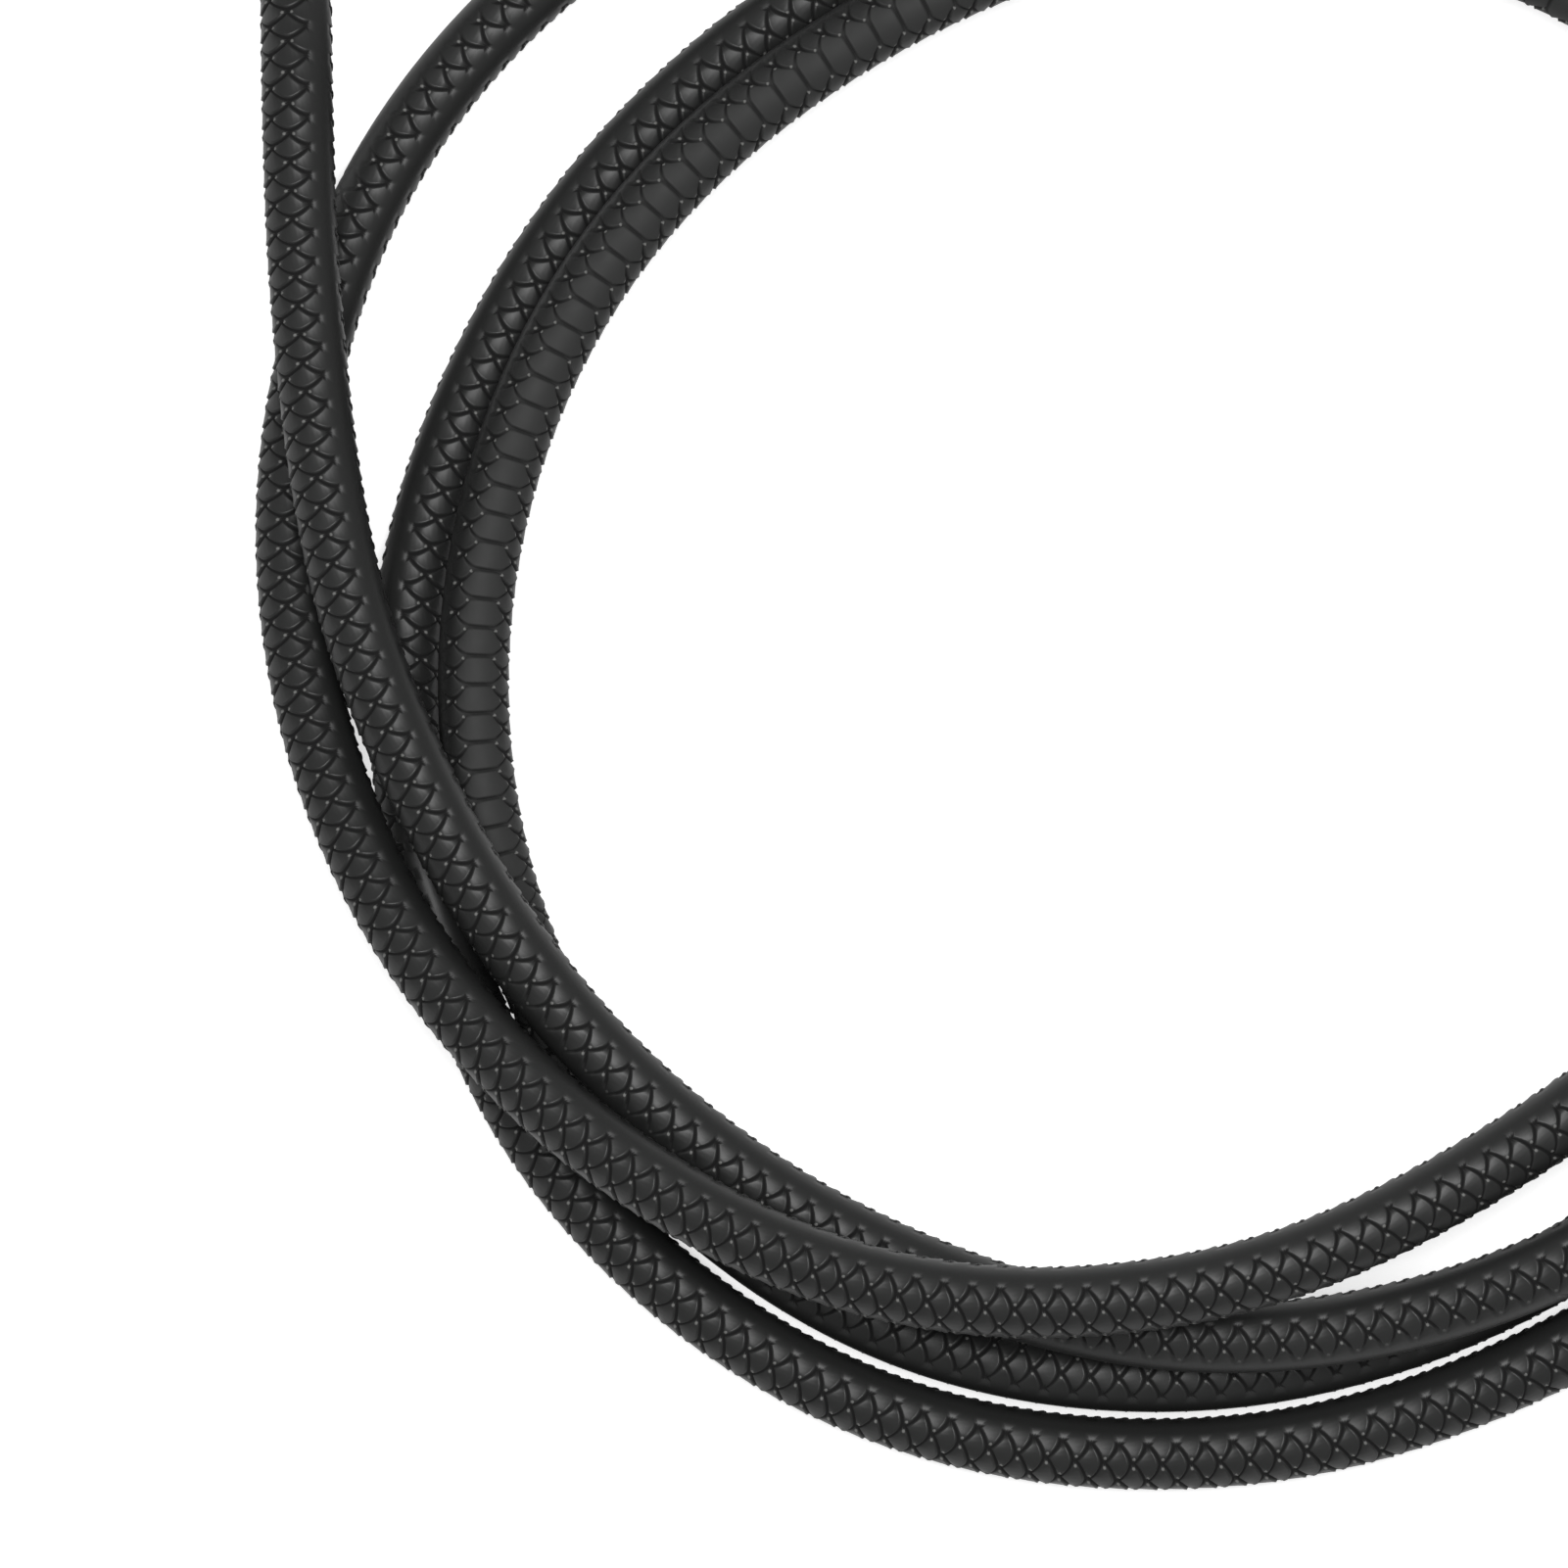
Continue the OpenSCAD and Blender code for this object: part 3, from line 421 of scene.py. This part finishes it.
PLUG_A = Plug(
    "a", A_MOUTH, relief_d=6.6, grooves=4,
    back=12, front=34, width=15.6, height=8,
    edge_r=2.4, corner_r=3, back_fillet=0.6, front_fillet=0.9,
    pocket=(12.1, 4.6, 0.65),
    holes=[
        (17, 12.1, 4.6, 0.65), (17, 5.3, 5.3, 2.6), (14, 5.3, 5.3, 2.6), (14, 5.1, 5.1, 2.5),
        (12, 5.1, 5.1, 2.5),
    ],
)
PLUG_C = Plug(
    "c", C_MOUTH, relief_d=5.6, grooves=4,
    back=11, front=28.5, width=11.6, height=6,
    edge_r=2, corner_r=2.5, back_fillet=0.16, front_fillet=0.7,
    pocket=(8.35, 2.5, 1.2),
    holes=[
        (24.5, 8.35, 2.5, 1.2), (24.5, 9.7, 4.5, 0.8), (15.5, 9.7, 4.5, 0.8),
        (15.5, 4.9, 4.9, 2.4), (13, 4.9, 4.9, 2.4), (13, 5.1, 5.1, 2.5), (11, 5.1, 5.1, 2.5),
    ],
)
END_STEPS = (0, 0.04, 0.12, 0.25, 0.4, 0.6, 0.8, 1)    # of a rounded end, in its radius
CORNER_STEPS = 8                 # pieces of each rounded corner of a ring
FLAT_STEPS = 8                   # pieces of each straight side of a ring
MOST_CORNER = 0.49               # of a ring's width or height
FACE_RIM = 0.3                   # of a housing's front face, left beside the pocket
FACE_SPREAD = 3.0                # keeps the rings of the rounded end apart there
POCKET_FILLET = 0.08
RELIEF_ROOT_L = 2
RELIEF_BORE_R = JACKET_D / 2 + 0.05
RELIEF_THIN_R = RELIEF_BORE_R + 0.5
RELIEF_ROOT_R = RELIEF_BORE_R + 0.4
RELIEF_SIDES = 64
RELIEF_END_GAP = 0.02            # from the relief's thick end to its housing
MOUTH_ROUND = ((0, 0.12), (0.04, 0.04), (0.14, 0))     # y, and how far the outside draws in
MOUTH_FLARE = ((0.15, 0), (0, 0.12))                   # y, and how far the bore opens
GROOVE_W = 0.8
GROOVE_T = 0.35
GROOVE_ROUND = 0.16              # radius of a groove's rounded edges
GROOVE_STEPS = 4                 # pieces of each of them


def ring(width, height, corner):
    """Rounded rectangle in x and z, anticlockwise seen from the plug's back."""
    corner = min(corner, MOST_CORNER * width, MOST_CORNER * height)
    w, h = width / 2 - corner, height / 2 - corner
    points = []
    for k, (sx, sz) in enumerate(((1, 1), (-1, 1), (-1, -1), (1, -1))):
        turn = np.radians(90 * k + np.linspace(0, 90, CORNER_STEPS + 1))
        arc = np.stack([sx * w + corner * np.cos(turn), sz * h + corner * np.sin(turn)], 1)
        across = (sx * (w + corner), -sz * h) if k % 2 else (-sx * w, sz * (h + corner))
        side = np.linspace(arc[-1], across, FLAT_STEPS + 1)[1:-1]
        points += [*arc, *side]
    return np.array(points)


def end_drop(distance, radius):
    """How far a rounded end has drawn in at a distance from its face."""
    rest = np.clip(radius - distance, 0, radius)
    return radius - np.sqrt(radius ** 2 - rest ** 2)


def closed_loft(name, rings, mouth):
    """Mesh through rings of (x, y, z) points that closes on itself both ways."""
    rings = np.asarray(rings)
    rows, count = rings.shape[:2]
    faces = tube_faces(rows + 1, count) % (rows * count)
    points = rings.reshape(-1, 3) + mouth + frame_shift()
    return mesh_object(name, points, faces)


def housing_rings(plug):
    """Outside from back to front, then the pocket and the bores from front to back."""
    pocket_w, pocket_h, pocket_r = plug.pocket
    rings = []

    def add(y, width, height, corner):
        xz = ring(width, height, corner)
        rings.append(np.stack([xz[:, 0], np.full(len(xz), y), xz[:, 1]], 1))

    def add_front(sunk, width, height, corner):
        """A ring on the front face, which draws back beside the pocket as the outline does."""
        xz = ring(width, height, corner)
        drop = end_drop(plug.width / 2 - np.abs(xz[:, 0]), plug.corner_r)
        rings.append(np.stack([xz[:, 0], plug.front - np.maximum(drop, sunk), xz[:, 1]], 1))

    for step in END_STEPS:
        d = step * plug.corner_r
        width = plug.width - 2 * end_drop(d, plug.corner_r)
        height = plug.height - 2 * end_drop(d, plug.back_fillet)
        add(plug.back + d, width, height, plug.edge_r)
    for step in END_STEPS[::-1]:
        d = step * plug.corner_r
        least = pocket_w + FACE_RIM + FACE_SPREAD * step
        width = max(plug.width - 2 * end_drop(d, plug.corner_r), least)
        height = plug.height - 2 * end_drop(d, plug.front_fillet)
        add_front(d, width, height, plug.edge_r)
    wider = 2 * POCKET_FILLET
    add_front(0, pocket_w + wider, pocket_h + wider, pocket_r + POCKET_FILLET)
    add_front(POCKET_FILLET, pocket_w, pocket_h, pocket_r)
    for hole in plug.holes:
        add(*hole)
    return rings


def relief_rings(plug):
    """Tapered outside with rounded grooves, the root in the housing, and the bore back."""
    thick_r = plug.relief_d / 2
    thick_y = plug.back - RELIEF_END_GAP
    root_y = plug.back + RELIEF_ROOT_L

    def taper(y):
        return RELIEF_THIN_R + (thick_r - RELIEF_THIN_R) * y / plug.back

    profile = [(y, RELIEF_THIN_R - drop) for y, drop in MOUTH_ROUND]
    turn = np.radians(np.linspace(0, 90, GROOVE_STEPS + 1))
    closing = GROOVE_ROUND * (1 - np.sin(turn))
    opening = GROOVE_ROUND * (1 - np.cos(turn))
    for i in range(1, plug.grooves + 1):
        middle = i * plug.back / (plug.grooves + 1)
        low = middle - GROOVE_W / 2
        fall = [
            *zip(low - closing, taper(low) - opening),
            *zip(low + opening, taper(middle) - GROOVE_T + closing),
        ]
        rise = [(2 * middle - y, r + 2 * (taper(middle) - taper(y))) for y, r in fall[::-1]]
        profile += fall + rise
    profile += [
        (thick_y, thick_r), (thick_y, RELIEF_ROOT_R), (root_y, RELIEF_ROOT_R),
        (root_y, RELIEF_BORE_R), *[(y, RELIEF_BORE_R + more) for y, more in MOUTH_FLARE],
    ]
    turn = np.linspace(0, 2 * np.pi, RELIEF_SIDES, endpoint=False)
    x, z = np.cos(turn), np.sin(turn)
    return [np.stack([r * x, np.full(RELIEF_SIDES, y), r * z], 1) for y, r in profile]


def make_plug(plug):
    pieces = []
    for node, kind, rings in (
        ("housing", "plug_mould", housing_rings(plug)),
        ("strain_relief", "relief_mould", relief_rings(plug)),
    ):
        piece = closed_loft(f"{plug.letter}_{node}_form", rings, plug.mouth)
        replace_materials(piece, materials[kind])
        soften(piece)
        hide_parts(f"{plug.letter}_{node}")
        pieces.append(piece)
    return pieces


# ---------------------------------------------------------------- materials
class Nodes:
    """Short way to write a material's node tree."""

    def __init__(self, name):
        self.material = bpy.data.materials.new(name)
        self.material.use_nodes = True
        self.tree = self.material.node_tree
        self.shader = self.tree.nodes["Principled BSDF"]

    def put(self, socket, value):
        """Give a socket a value, or link it to another node's output."""
        if isinstance(value, bpy.types.NodeSocket):
            self.tree.links.new(value, socket)
        else:
            socket.default_value = value

    def add(self, kind, inputs=(), out=0, **settings):
        node = self.tree.nodes.new(kind)
        for key, value in settings.items():
            setattr(node, key, value)
        for key, value in dict(inputs).items():
            self.put(node.inputs[key], value)
        return node.outputs[out]

    def math(self, operation, *values):
        return self.add("ShaderNodeMath", dict(enumerate(values)), operation=operation)

    def smooth(self, value, low, high):
        """0 at low and 1 at high, smooth between."""
        return self.add(
            "ShaderNodeMapRange",
            {"Value": value, "From Min": low, "From Max": high},
            interpolation_type="SMOOTHSTEP",
        )

    def range(self, value, low, high):
        """A 0 to 1 value spread from low to high."""
        return self.add("ShaderNodeMapRange", {"Value": value, "To Min": low, "To Max": high})

    def object_place(self):
        return self.add("ShaderNodeTexCoord", out="Object")

    def noise(self, scale, detail=3.0, roughness=0.5, vector=None):
        inputs = {"Scale": scale, "Detail": detail, "Roughness": roughness}
        inputs["Vector"] = vector or self.object_place()
        return self.add("ShaderNodeTexNoise", inputs)

    def map_values(self, name):
        """Both values of a UV map."""
        place = self.add("ShaderNodeUVMap", uv_map=name)
        split = self.add("ShaderNodeSeparateXYZ", {"Vector": place})
        return split, split.node.outputs["Y"]

    def mix(self, factor, a, b):
        """Mix of two colours, which have the sockets 6 and 7 and the output 2."""
        return self.add("ShaderNodeMix", {"Factor": factor, 6: a, 7: b}, 2, data_type="RGBA")

    def mix_value(self, factor, a, b):
        return self.add("ShaderNodeMix", {"Factor": factor, "A": a, "B": b})

    def bump(self, height, distance, strength):
        inputs = {"Height": height, "Distance": distance, "Strength": strength}
        return self.add("ShaderNodeBump", inputs)

    def set(self, **inputs):
        for key, value in inputs.items():
            self.put(self.shader.inputs[key.replace("_", " ")], value)
        return self.material


JACKET_DARK = (0.0130, 0.0134, 0.0131, 1)
JACKET_LIGHT = (0.0185, 0.0189, 0.0186, 1)
JACKET_BACK = (0.03, 0.0305, 0.03, 1)    # opposite the band
# Painted shade: the near-black colour in the grooves and at their crossings stands in for the shade
# in these hollows.
GROOVE_SHADE_COLOUR = (0.002, 0.002, 0.002, 1)
# Painted glint: the bright colour of the pips stands in for light caught on these small raised
# dots.
PIP_GLINT_COLOUR = (0.16, 0.16, 0.155, 1)
JACKET_ROUGH = (0.37, 0.49)
GROOVE_ROUGH = 0.9
JACKET_IOR = 1.43
TONE_SCALE = 60.0                # of the noise in the colour
ROUGH_SCALE = 900.0              # of the noise in the roughness
GRAIN_SCALE = 5200.0             # of the noise in the bump
GRAIN_SHARE = 0.12               # of the bump
BUMP_DEPTH = 0.00003             # metres
BUMP_STRENGTH = 0.8
GROOVES_FROM = (0.74, 0.94)      # columns between which the painted shade of the grooves sets in beside the band
GROOVE_REACH = (0.085, 0.03)     # pitches from an edge at which its groove's painted shade is none and full
CROSSING_REACH = (0.18, 0.1)     # the same from the further of two edges
CROSSING_DARK = 0.95             # how dark the painted shade at a crossing of two grooves turns
MERGED_DARK = 0.45               # how dark the painted shade of the grooves opposite the band turns
PIPS_FROM = (1.3, 1.6)           # columns between which the pips and their painted glint begin
PIP_REACH = (0.13, 0.05)         # from a pip's middle, where it ends and where it is full
PIP_OFFSET = 0.24                # of a pip from its column, in columns
PIP_DROP = 0.114                 # of a pip past the scale's end, in pitches
BACK_MATT = (3.6, 4.6)           # columns between which the faces opposite the band turn matt
BACK_SHARE = 0.5                 # of JACKET_BACK in their colour
BACK_ROUGHER = 0.25              # added to their roughness


def jacket_material():
    n = Nodes("jacket_tpe")
    u, v = n.map_values("pattern")
    share = n.map_values("relief")[0]
    to_even = n.math("PINGPONG", u, 1.0)
    to_odd = n.math("SUBTRACT", 1.0, to_even)
    merged = n.smooth(u, *BACK_MERGE)
    steep = n.range(merged, ARC_DROP, BACK_DROP)
    edge = []
    pips = []
    for distance, shift in ((to_even, 0.0), (to_odd, 0.5)):
        drop = n.math("MULTIPLY", n.math("POWER", distance, ARC_POWER), steep)
        along = n.math("ADD", n.math("ADD", v, drop), shift)
        edge.append(n.math("PINGPONG", along, 0.5))
        du = n.math("MULTIPLY", n.math("SUBTRACT", distance, PIP_OFFSET), COLUMN_MM)
        dv = n.math("PINGPONG", n.math("ADD", v, shift - PIP_DROP), 0.5)
        dv = n.math("MULTIPLY", dv, PITCH)
        square = n.math("ADD", n.math("MULTIPLY", du, du), n.math("MULTIPLY", dv, dv))
        pips.append(n.math("SQRT", square))

    line = n.smooth(n.math("MINIMUM", *edge), *GROOVE_REACH)
    crossing = n.smooth(n.math("MAXIMUM", *edge), *CROSSING_REACH)
    crossing = n.math("MULTIPLY", crossing, n.range(merged, CROSSING_DARK, 0.0))
    strength = n.math("MULTIPLY", n.smooth(u, *GROOVES_FROM), share)
    strength = n.math("MULTIPLY", strength, n.range(merged, 1.0, MERGED_DARK))
    # Mask of the grooves: real relief in the bump and roughness, painted shade in the colour.
    groove_and_shade = n.math("MULTIPLY", n.math("MAXIMUM", line, crossing), strength)
    with_pips = n.math("MULTIPLY", n.smooth(u, *PIPS_FROM), share)
    # Mask of the pips: raised dots in the bump, painted glint in the colour.
    pip_and_glint = n.math("MULTIPLY", n.smooth(n.math("MINIMUM", *pips), *PIP_REACH), with_pips)

    back = n.smooth(u, *BACK_MATT)
    face = n.mix(n.noise(TONE_SCALE, detail=2.0), JACKET_DARK, JACKET_LIGHT)
    face = n.mix(n.math("MULTIPLY", back, BACK_SHARE), face, JACKET_BACK)
    # The colour holds painted shade in the grooves and a painted glint on the pips.
    colour = n.mix(pip_and_glint, n.mix(groove_and_shade, face, GROOVE_SHADE_COLOUR), PIP_GLINT_COLOUR)
    rough = n.range(n.noise(ROUGH_SCALE), *JACKET_ROUGH)
    rough = n.math("ADD", rough, n.math("MULTIPLY", back, BACK_ROUGHER))
    grain = n.noise(GRAIN_SCALE, detail=2.0, roughness=0.6)
    grain = n.math("MULTIPLY", grain, GRAIN_SHARE)
    height = n.math("ADD", grain, n.math("SUBTRACT", pip_and_glint, groove_and_shade))
    return n.set(
        Base_Color=colour,
        Roughness=n.mix_value(groove_and_shade, rough, GROOVE_ROUGH),
        IOR=JACKET_IOR,
        Normal=n.bump(height, BUMP_DEPTH, BUMP_STRENGTH),
    )


# The other materials by slot: colours and roughnesses between which they drift, and depth in
# metres and scale of the grain, which is drawn out along Y by stretch
MOULDED = {
    "plug_mould": dict(
        dark=(0.015, 0.015, 0.0155), light=(0.021, 0.021, 0.0215), rough=(0.42, 0.55),
        grain=0.00003, grain_scale=7000.0,
    ),
    "relief_mould": dict(
        dark=(0.015, 0.015, 0.0155), light=(0.02, 0.02, 0.0205), rough=(0.5, 0.62),
        grain=0.00003, grain_scale=7000.0,
    ),
    "shell_steel": dict(
        dark=(0.58, 0.58, 0.59), light=(0.66, 0.66, 0.665), rough=(0.18, 0.34),
        grain=0.000003, grain_scale=5000.0, metallic=1.0, stretch=14.0,
    ),
    "can_steel": dict(
        dark=(0.48, 0.49, 0.51), light=(0.56, 0.57, 0.59), rough=(0.3, 0.45),
        grain=0.000004, grain_scale=3000.0, metallic=1.0,
    ),
    "insulator_black": dict(
        dark=(0.014, 0.014, 0.014), light=(0.024, 0.024, 0.024), rough=(0.35, 0.5),
    ),
    "contact_gold": dict(
        dark=(0.72, 0.5, 0.18), light=(0.8, 0.57, 0.22), rough=(0.16, 0.28),
        grain=0.000003, grain_scale=4000.0, metallic=1.0,
    ),
    "cover_white": dict(dark=(0.58, 0.58, 0.54), light=(0.66, 0.66, 0.62), rough=(0.35, 0.5)),
    "board_green": dict(
        dark=(0.015, 0.085, 0.03), light=(0.025, 0.12, 0.05), rough=(0.25, 0.35), coat=0.4,
    ),
    "chip_black": dict(
        dark=(0.016, 0.016, 0.018), light=(0.026, 0.026, 0.028), rough=(0.3, 0.45),
    ),
    "wire_red": dict(dark=(0.4, 0.015, 0.012), light=(0.5, 0.025, 0.018), rough=(0.28, 0.4)),
    "wire_black": dict(dark=(0.012, 0.012, 0.012), light=(0.02, 0.02, 0.02), rough=(0.28, 0.4)),
    "wire_green": dict(dark=(0.015, 0.17, 0.04), light=(0.025, 0.23, 0.06), rough=(0.28, 0.4)),
    "wire_white": dict(dark=(0.7, 0.7, 0.67), light=(0.8, 0.8, 0.77), rough=(0.28, 0.4)),
}
MOULDED_TONE_SCALE = 700.0
MOULDED_COARSER = 3              # times coarser than the grain, the noise in the roughness
MOULDED_BUMP_STRENGTH = 0.6
# Fine bevels on the CAD pieces
BEVEL_ANGLE = 40                 # degrees at which two faces' edge is hard
BEVEL_SEGMENTS = 2
WELD_WITHIN = 1e-6               # metres


def moulded(
    name, dark, light, rough, grain=0.00002, grain_scale=2600.0, metallic=0.0, coat=0.0, stretch=1.0
):
    """Material whose colour and roughness drift a little and whose surface is finely grained."""
    n = Nodes(name)
    place = n.object_place()
    along = n.add("ShaderNodeMapping", {"Vector": place, "Scale": (1.0, 1.0 / stretch, 1.0)})
    tone = n.noise(MOULDED_TONE_SCALE, vector=place)
    fine = n.noise(grain_scale, roughness=0.6, vector=along)
    broad = n.noise(grain_scale / MOULDED_COARSER, detail=2.0, vector=along)
    return n.set(
        Base_Color=n.mix(tone, (*dark, 1), (*light, 1)),
        Metallic=metallic,
        Roughness=n.range(broad, *rough),
        Coat_Weight=coat,
        Normal=n.bump(fine, grain, MOULDED_BUMP_STRENGTH),
    )


def replace_materials(piece, material):
    piece.data.materials.clear()
    piece.data.materials.append(material)


def soften(piece, width=0):
    """Shade by angle, with a fine bevel of a width on the hard edges of a CAD piece."""
    if width:
        weld = piece.modifiers.new("weld", "WELD")
        weld.merge_threshold = WELD_WITHIN
        bevel = piece.modifiers.new("bevel", "BEVEL")
        bevel.width = width * MM
        bevel.segments = BEVEL_SEGMENTS
        bevel.limit_method = "ANGLE"
        bevel.angle_limit = math.radians(BEVEL_ANGLE)
    piece.data.polygons.foreach_set("use_smooth", [True] * len(piece.data.polygons))
    normals = piece.modifiers.new("normals", "WEIGHTED_NORMAL")
    normals.keep_sharp = True


# CAD pieces that are shown as they are, by material
SHOWN_AS_CAD = {
    "shell_steel": ("a_shell", "c_shell"),
    "can_steel": ("a_rear_shield", "c_shield_can", "c_latch", "c_ground_springs"),
    "insulator_black": ("a_tongue", "c_insulator"),
    "contact_gold": ("a_contacts", "c_upper_contacts", "c_lower_contacts"),
    "cover_white": ("a_inner_cover",),
    "board_green": ("c_board",),
    "chip_black": ("c_resistor",),
    "wire_red": ("power_wire",),
    "wire_black": ("ground_wire",),
    "wire_green": ("data_plus_wire",),
    "wire_white": ("data_minus_wire",),
}
# Width of the bevels on those that can be seen from outside
BEVELLED = {
    "a_shell": 0.05, "c_shell": 0.04, "a_tongue": 0.06, "c_insulator": 0.04, "a_contacts": 0.04,
}


def dress_cad_pieces():
    for slot, names in SHOWN_AS_CAD.items():
        for name in names:
            replace_materials(nodes[name], materials[slot])
            if name in BEVELLED:
                soften(nodes[name], BEVELLED[name])


# ---------------------------------------------------------------- surroundings
# Sizes and places here are in metres.
FLOOR_SIZE = 8.0
FLOOR_COLOUR = (0.86, 0.86, 0.86, 1)
FLOOR_ROUGH = 0.9
FLOOR_GLOW = 0.6                 # added where the camera sees the floor
FLOOR_GLOW_MIRRORED = 0.15       # added where a reflection or a refraction shows the floor
WORLD_LIGHT = 0.2
WORLD_SEEN = 0.8                 # added where the camera sees the surroundings
WORLD_MIRRORED = 0.2             # added where a reflection or a refraction shows them
LAMP_POWER = 24.0                # watts
LAMP_SIZE = 0.9
LAMP_PLACE = (0, 0.15, 1.7)
WHITE = (1, 1, 1, 1)


def extra_light(tree, seen, mirrored, base=0.0):
    """Strength that grows where the camera, a reflection or a refraction looks at a surface."""
    path = tree.nodes.new("ShaderNodeLightPath")
    total = None
    for name, gain in (
        ("Is Camera Ray", seen), ("Is Glossy Ray", mirrored), ("Is Transmission Ray", mirrored),
    ):
        node = tree.nodes.new("ShaderNodeMath")
        node.operation = "MULTIPLY_ADD"
        tree.links.new(path.outputs[name], node.inputs[0])
        node.inputs[1].default_value = gain
        node.inputs[2].default_value = base
        if total:
            tree.links.new(total, node.inputs[2])
        total = node.outputs[0]
    return total


def make_floor():
    half = FLOOR_SIZE / 2
    mesh = bpy.data.meshes.new("floor")
    corners = [(-half, -half, 0), (half, -half, 0), (half, half, 0), (-half, half, 0)]
    mesh.from_pydata(corners, [], [(0, 1, 2, 3)])
    floor = bpy.data.objects.new("floor", mesh)
    bpy.context.scene.collection.objects.link(floor)
    n = Nodes("floor_white")
    material = n.set(
        Base_Color=FLOOR_COLOUR,
        Roughness=FLOOR_ROUGH,
        Specular_IOR_Level=0.0,
        Emission_Color=WHITE,
        Emission_Strength=extra_light(n.tree, FLOOR_GLOW, FLOOR_GLOW_MIRRORED),
    )
    mesh.materials.append(material)


def make_world():
    world = bpy.data.worlds.new("studio")
    bpy.context.scene.world = world
    world.use_nodes = True
    tree = world.node_tree
    back = tree.nodes["Background"]
    back.inputs["Color"].default_value = WHITE
    strength = extra_light(tree, WORLD_SEEN, WORLD_MIRRORED, WORLD_LIGHT)
    tree.links.new(strength, back.inputs["Strength"])


def make_lamp():
    """A round lamp above the cable that faces its middle."""
    data = bpy.data.lights.new("lamp_above", "AREA")
    data.shape = "DISK"
    data.size = LAMP_SIZE
    data.energy = LAMP_POWER
    lamp = bpy.data.objects.new("lamp_above", data)
    bpy.context.scene.collection.objects.link(lamp)
    lamp.location = LAMP_PLACE
    lamp.rotation_euler = (-Vector(LAMP_PLACE)).to_track_quat("-Z", "Y").to_euler()


def make_camera():
    """Straight above, framed as the photograph is: the cord's width and the coil's middle."""
    per_pixel = JACKET_D / JACKET_PX
    middle = (PHOTO_PX - 1) / 2
    x = (middle - COIL_CENTRE_PX[0]) * per_pixel
    y = (COIL_CENTRE_PX[1] - middle) * per_pixel
    data = bpy.data.cameras.new("camera")
    data.sensor_width = SENSOR
    data.lens = SENSOR * CAMERA_HEIGHT / (PHOTO_PX * per_pixel)
    data.clip_start, data.clip_end = CAMERA_CLIP
    camera = bpy.data.objects.new("camera", data)
    bpy.context.scene.collection.objects.link(camera)
    camera.location = Vector((np.array([x, y, CAMERA_HEIGHT]) + frame_shift()) * MM)
    bpy.context.scene.camera = camera


make_camera()
make_world()
make_floor()
make_lamp()
bpy.context.scene.view_settings.view_transform = "Standard"

line = CentreLine()
jacket = make_jacket(line)
replace_materials(jacket, jacket_material())
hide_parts("jacket_coil", "jacket_tail_a", "jacket_tail_c")
materials = {name: moulded(name, **looks) for name, looks in MOULDED.items()}
dress_cad_pieces()
plug_pieces = [*make_plug(PLUG_A), *make_plug(PLUG_C)]
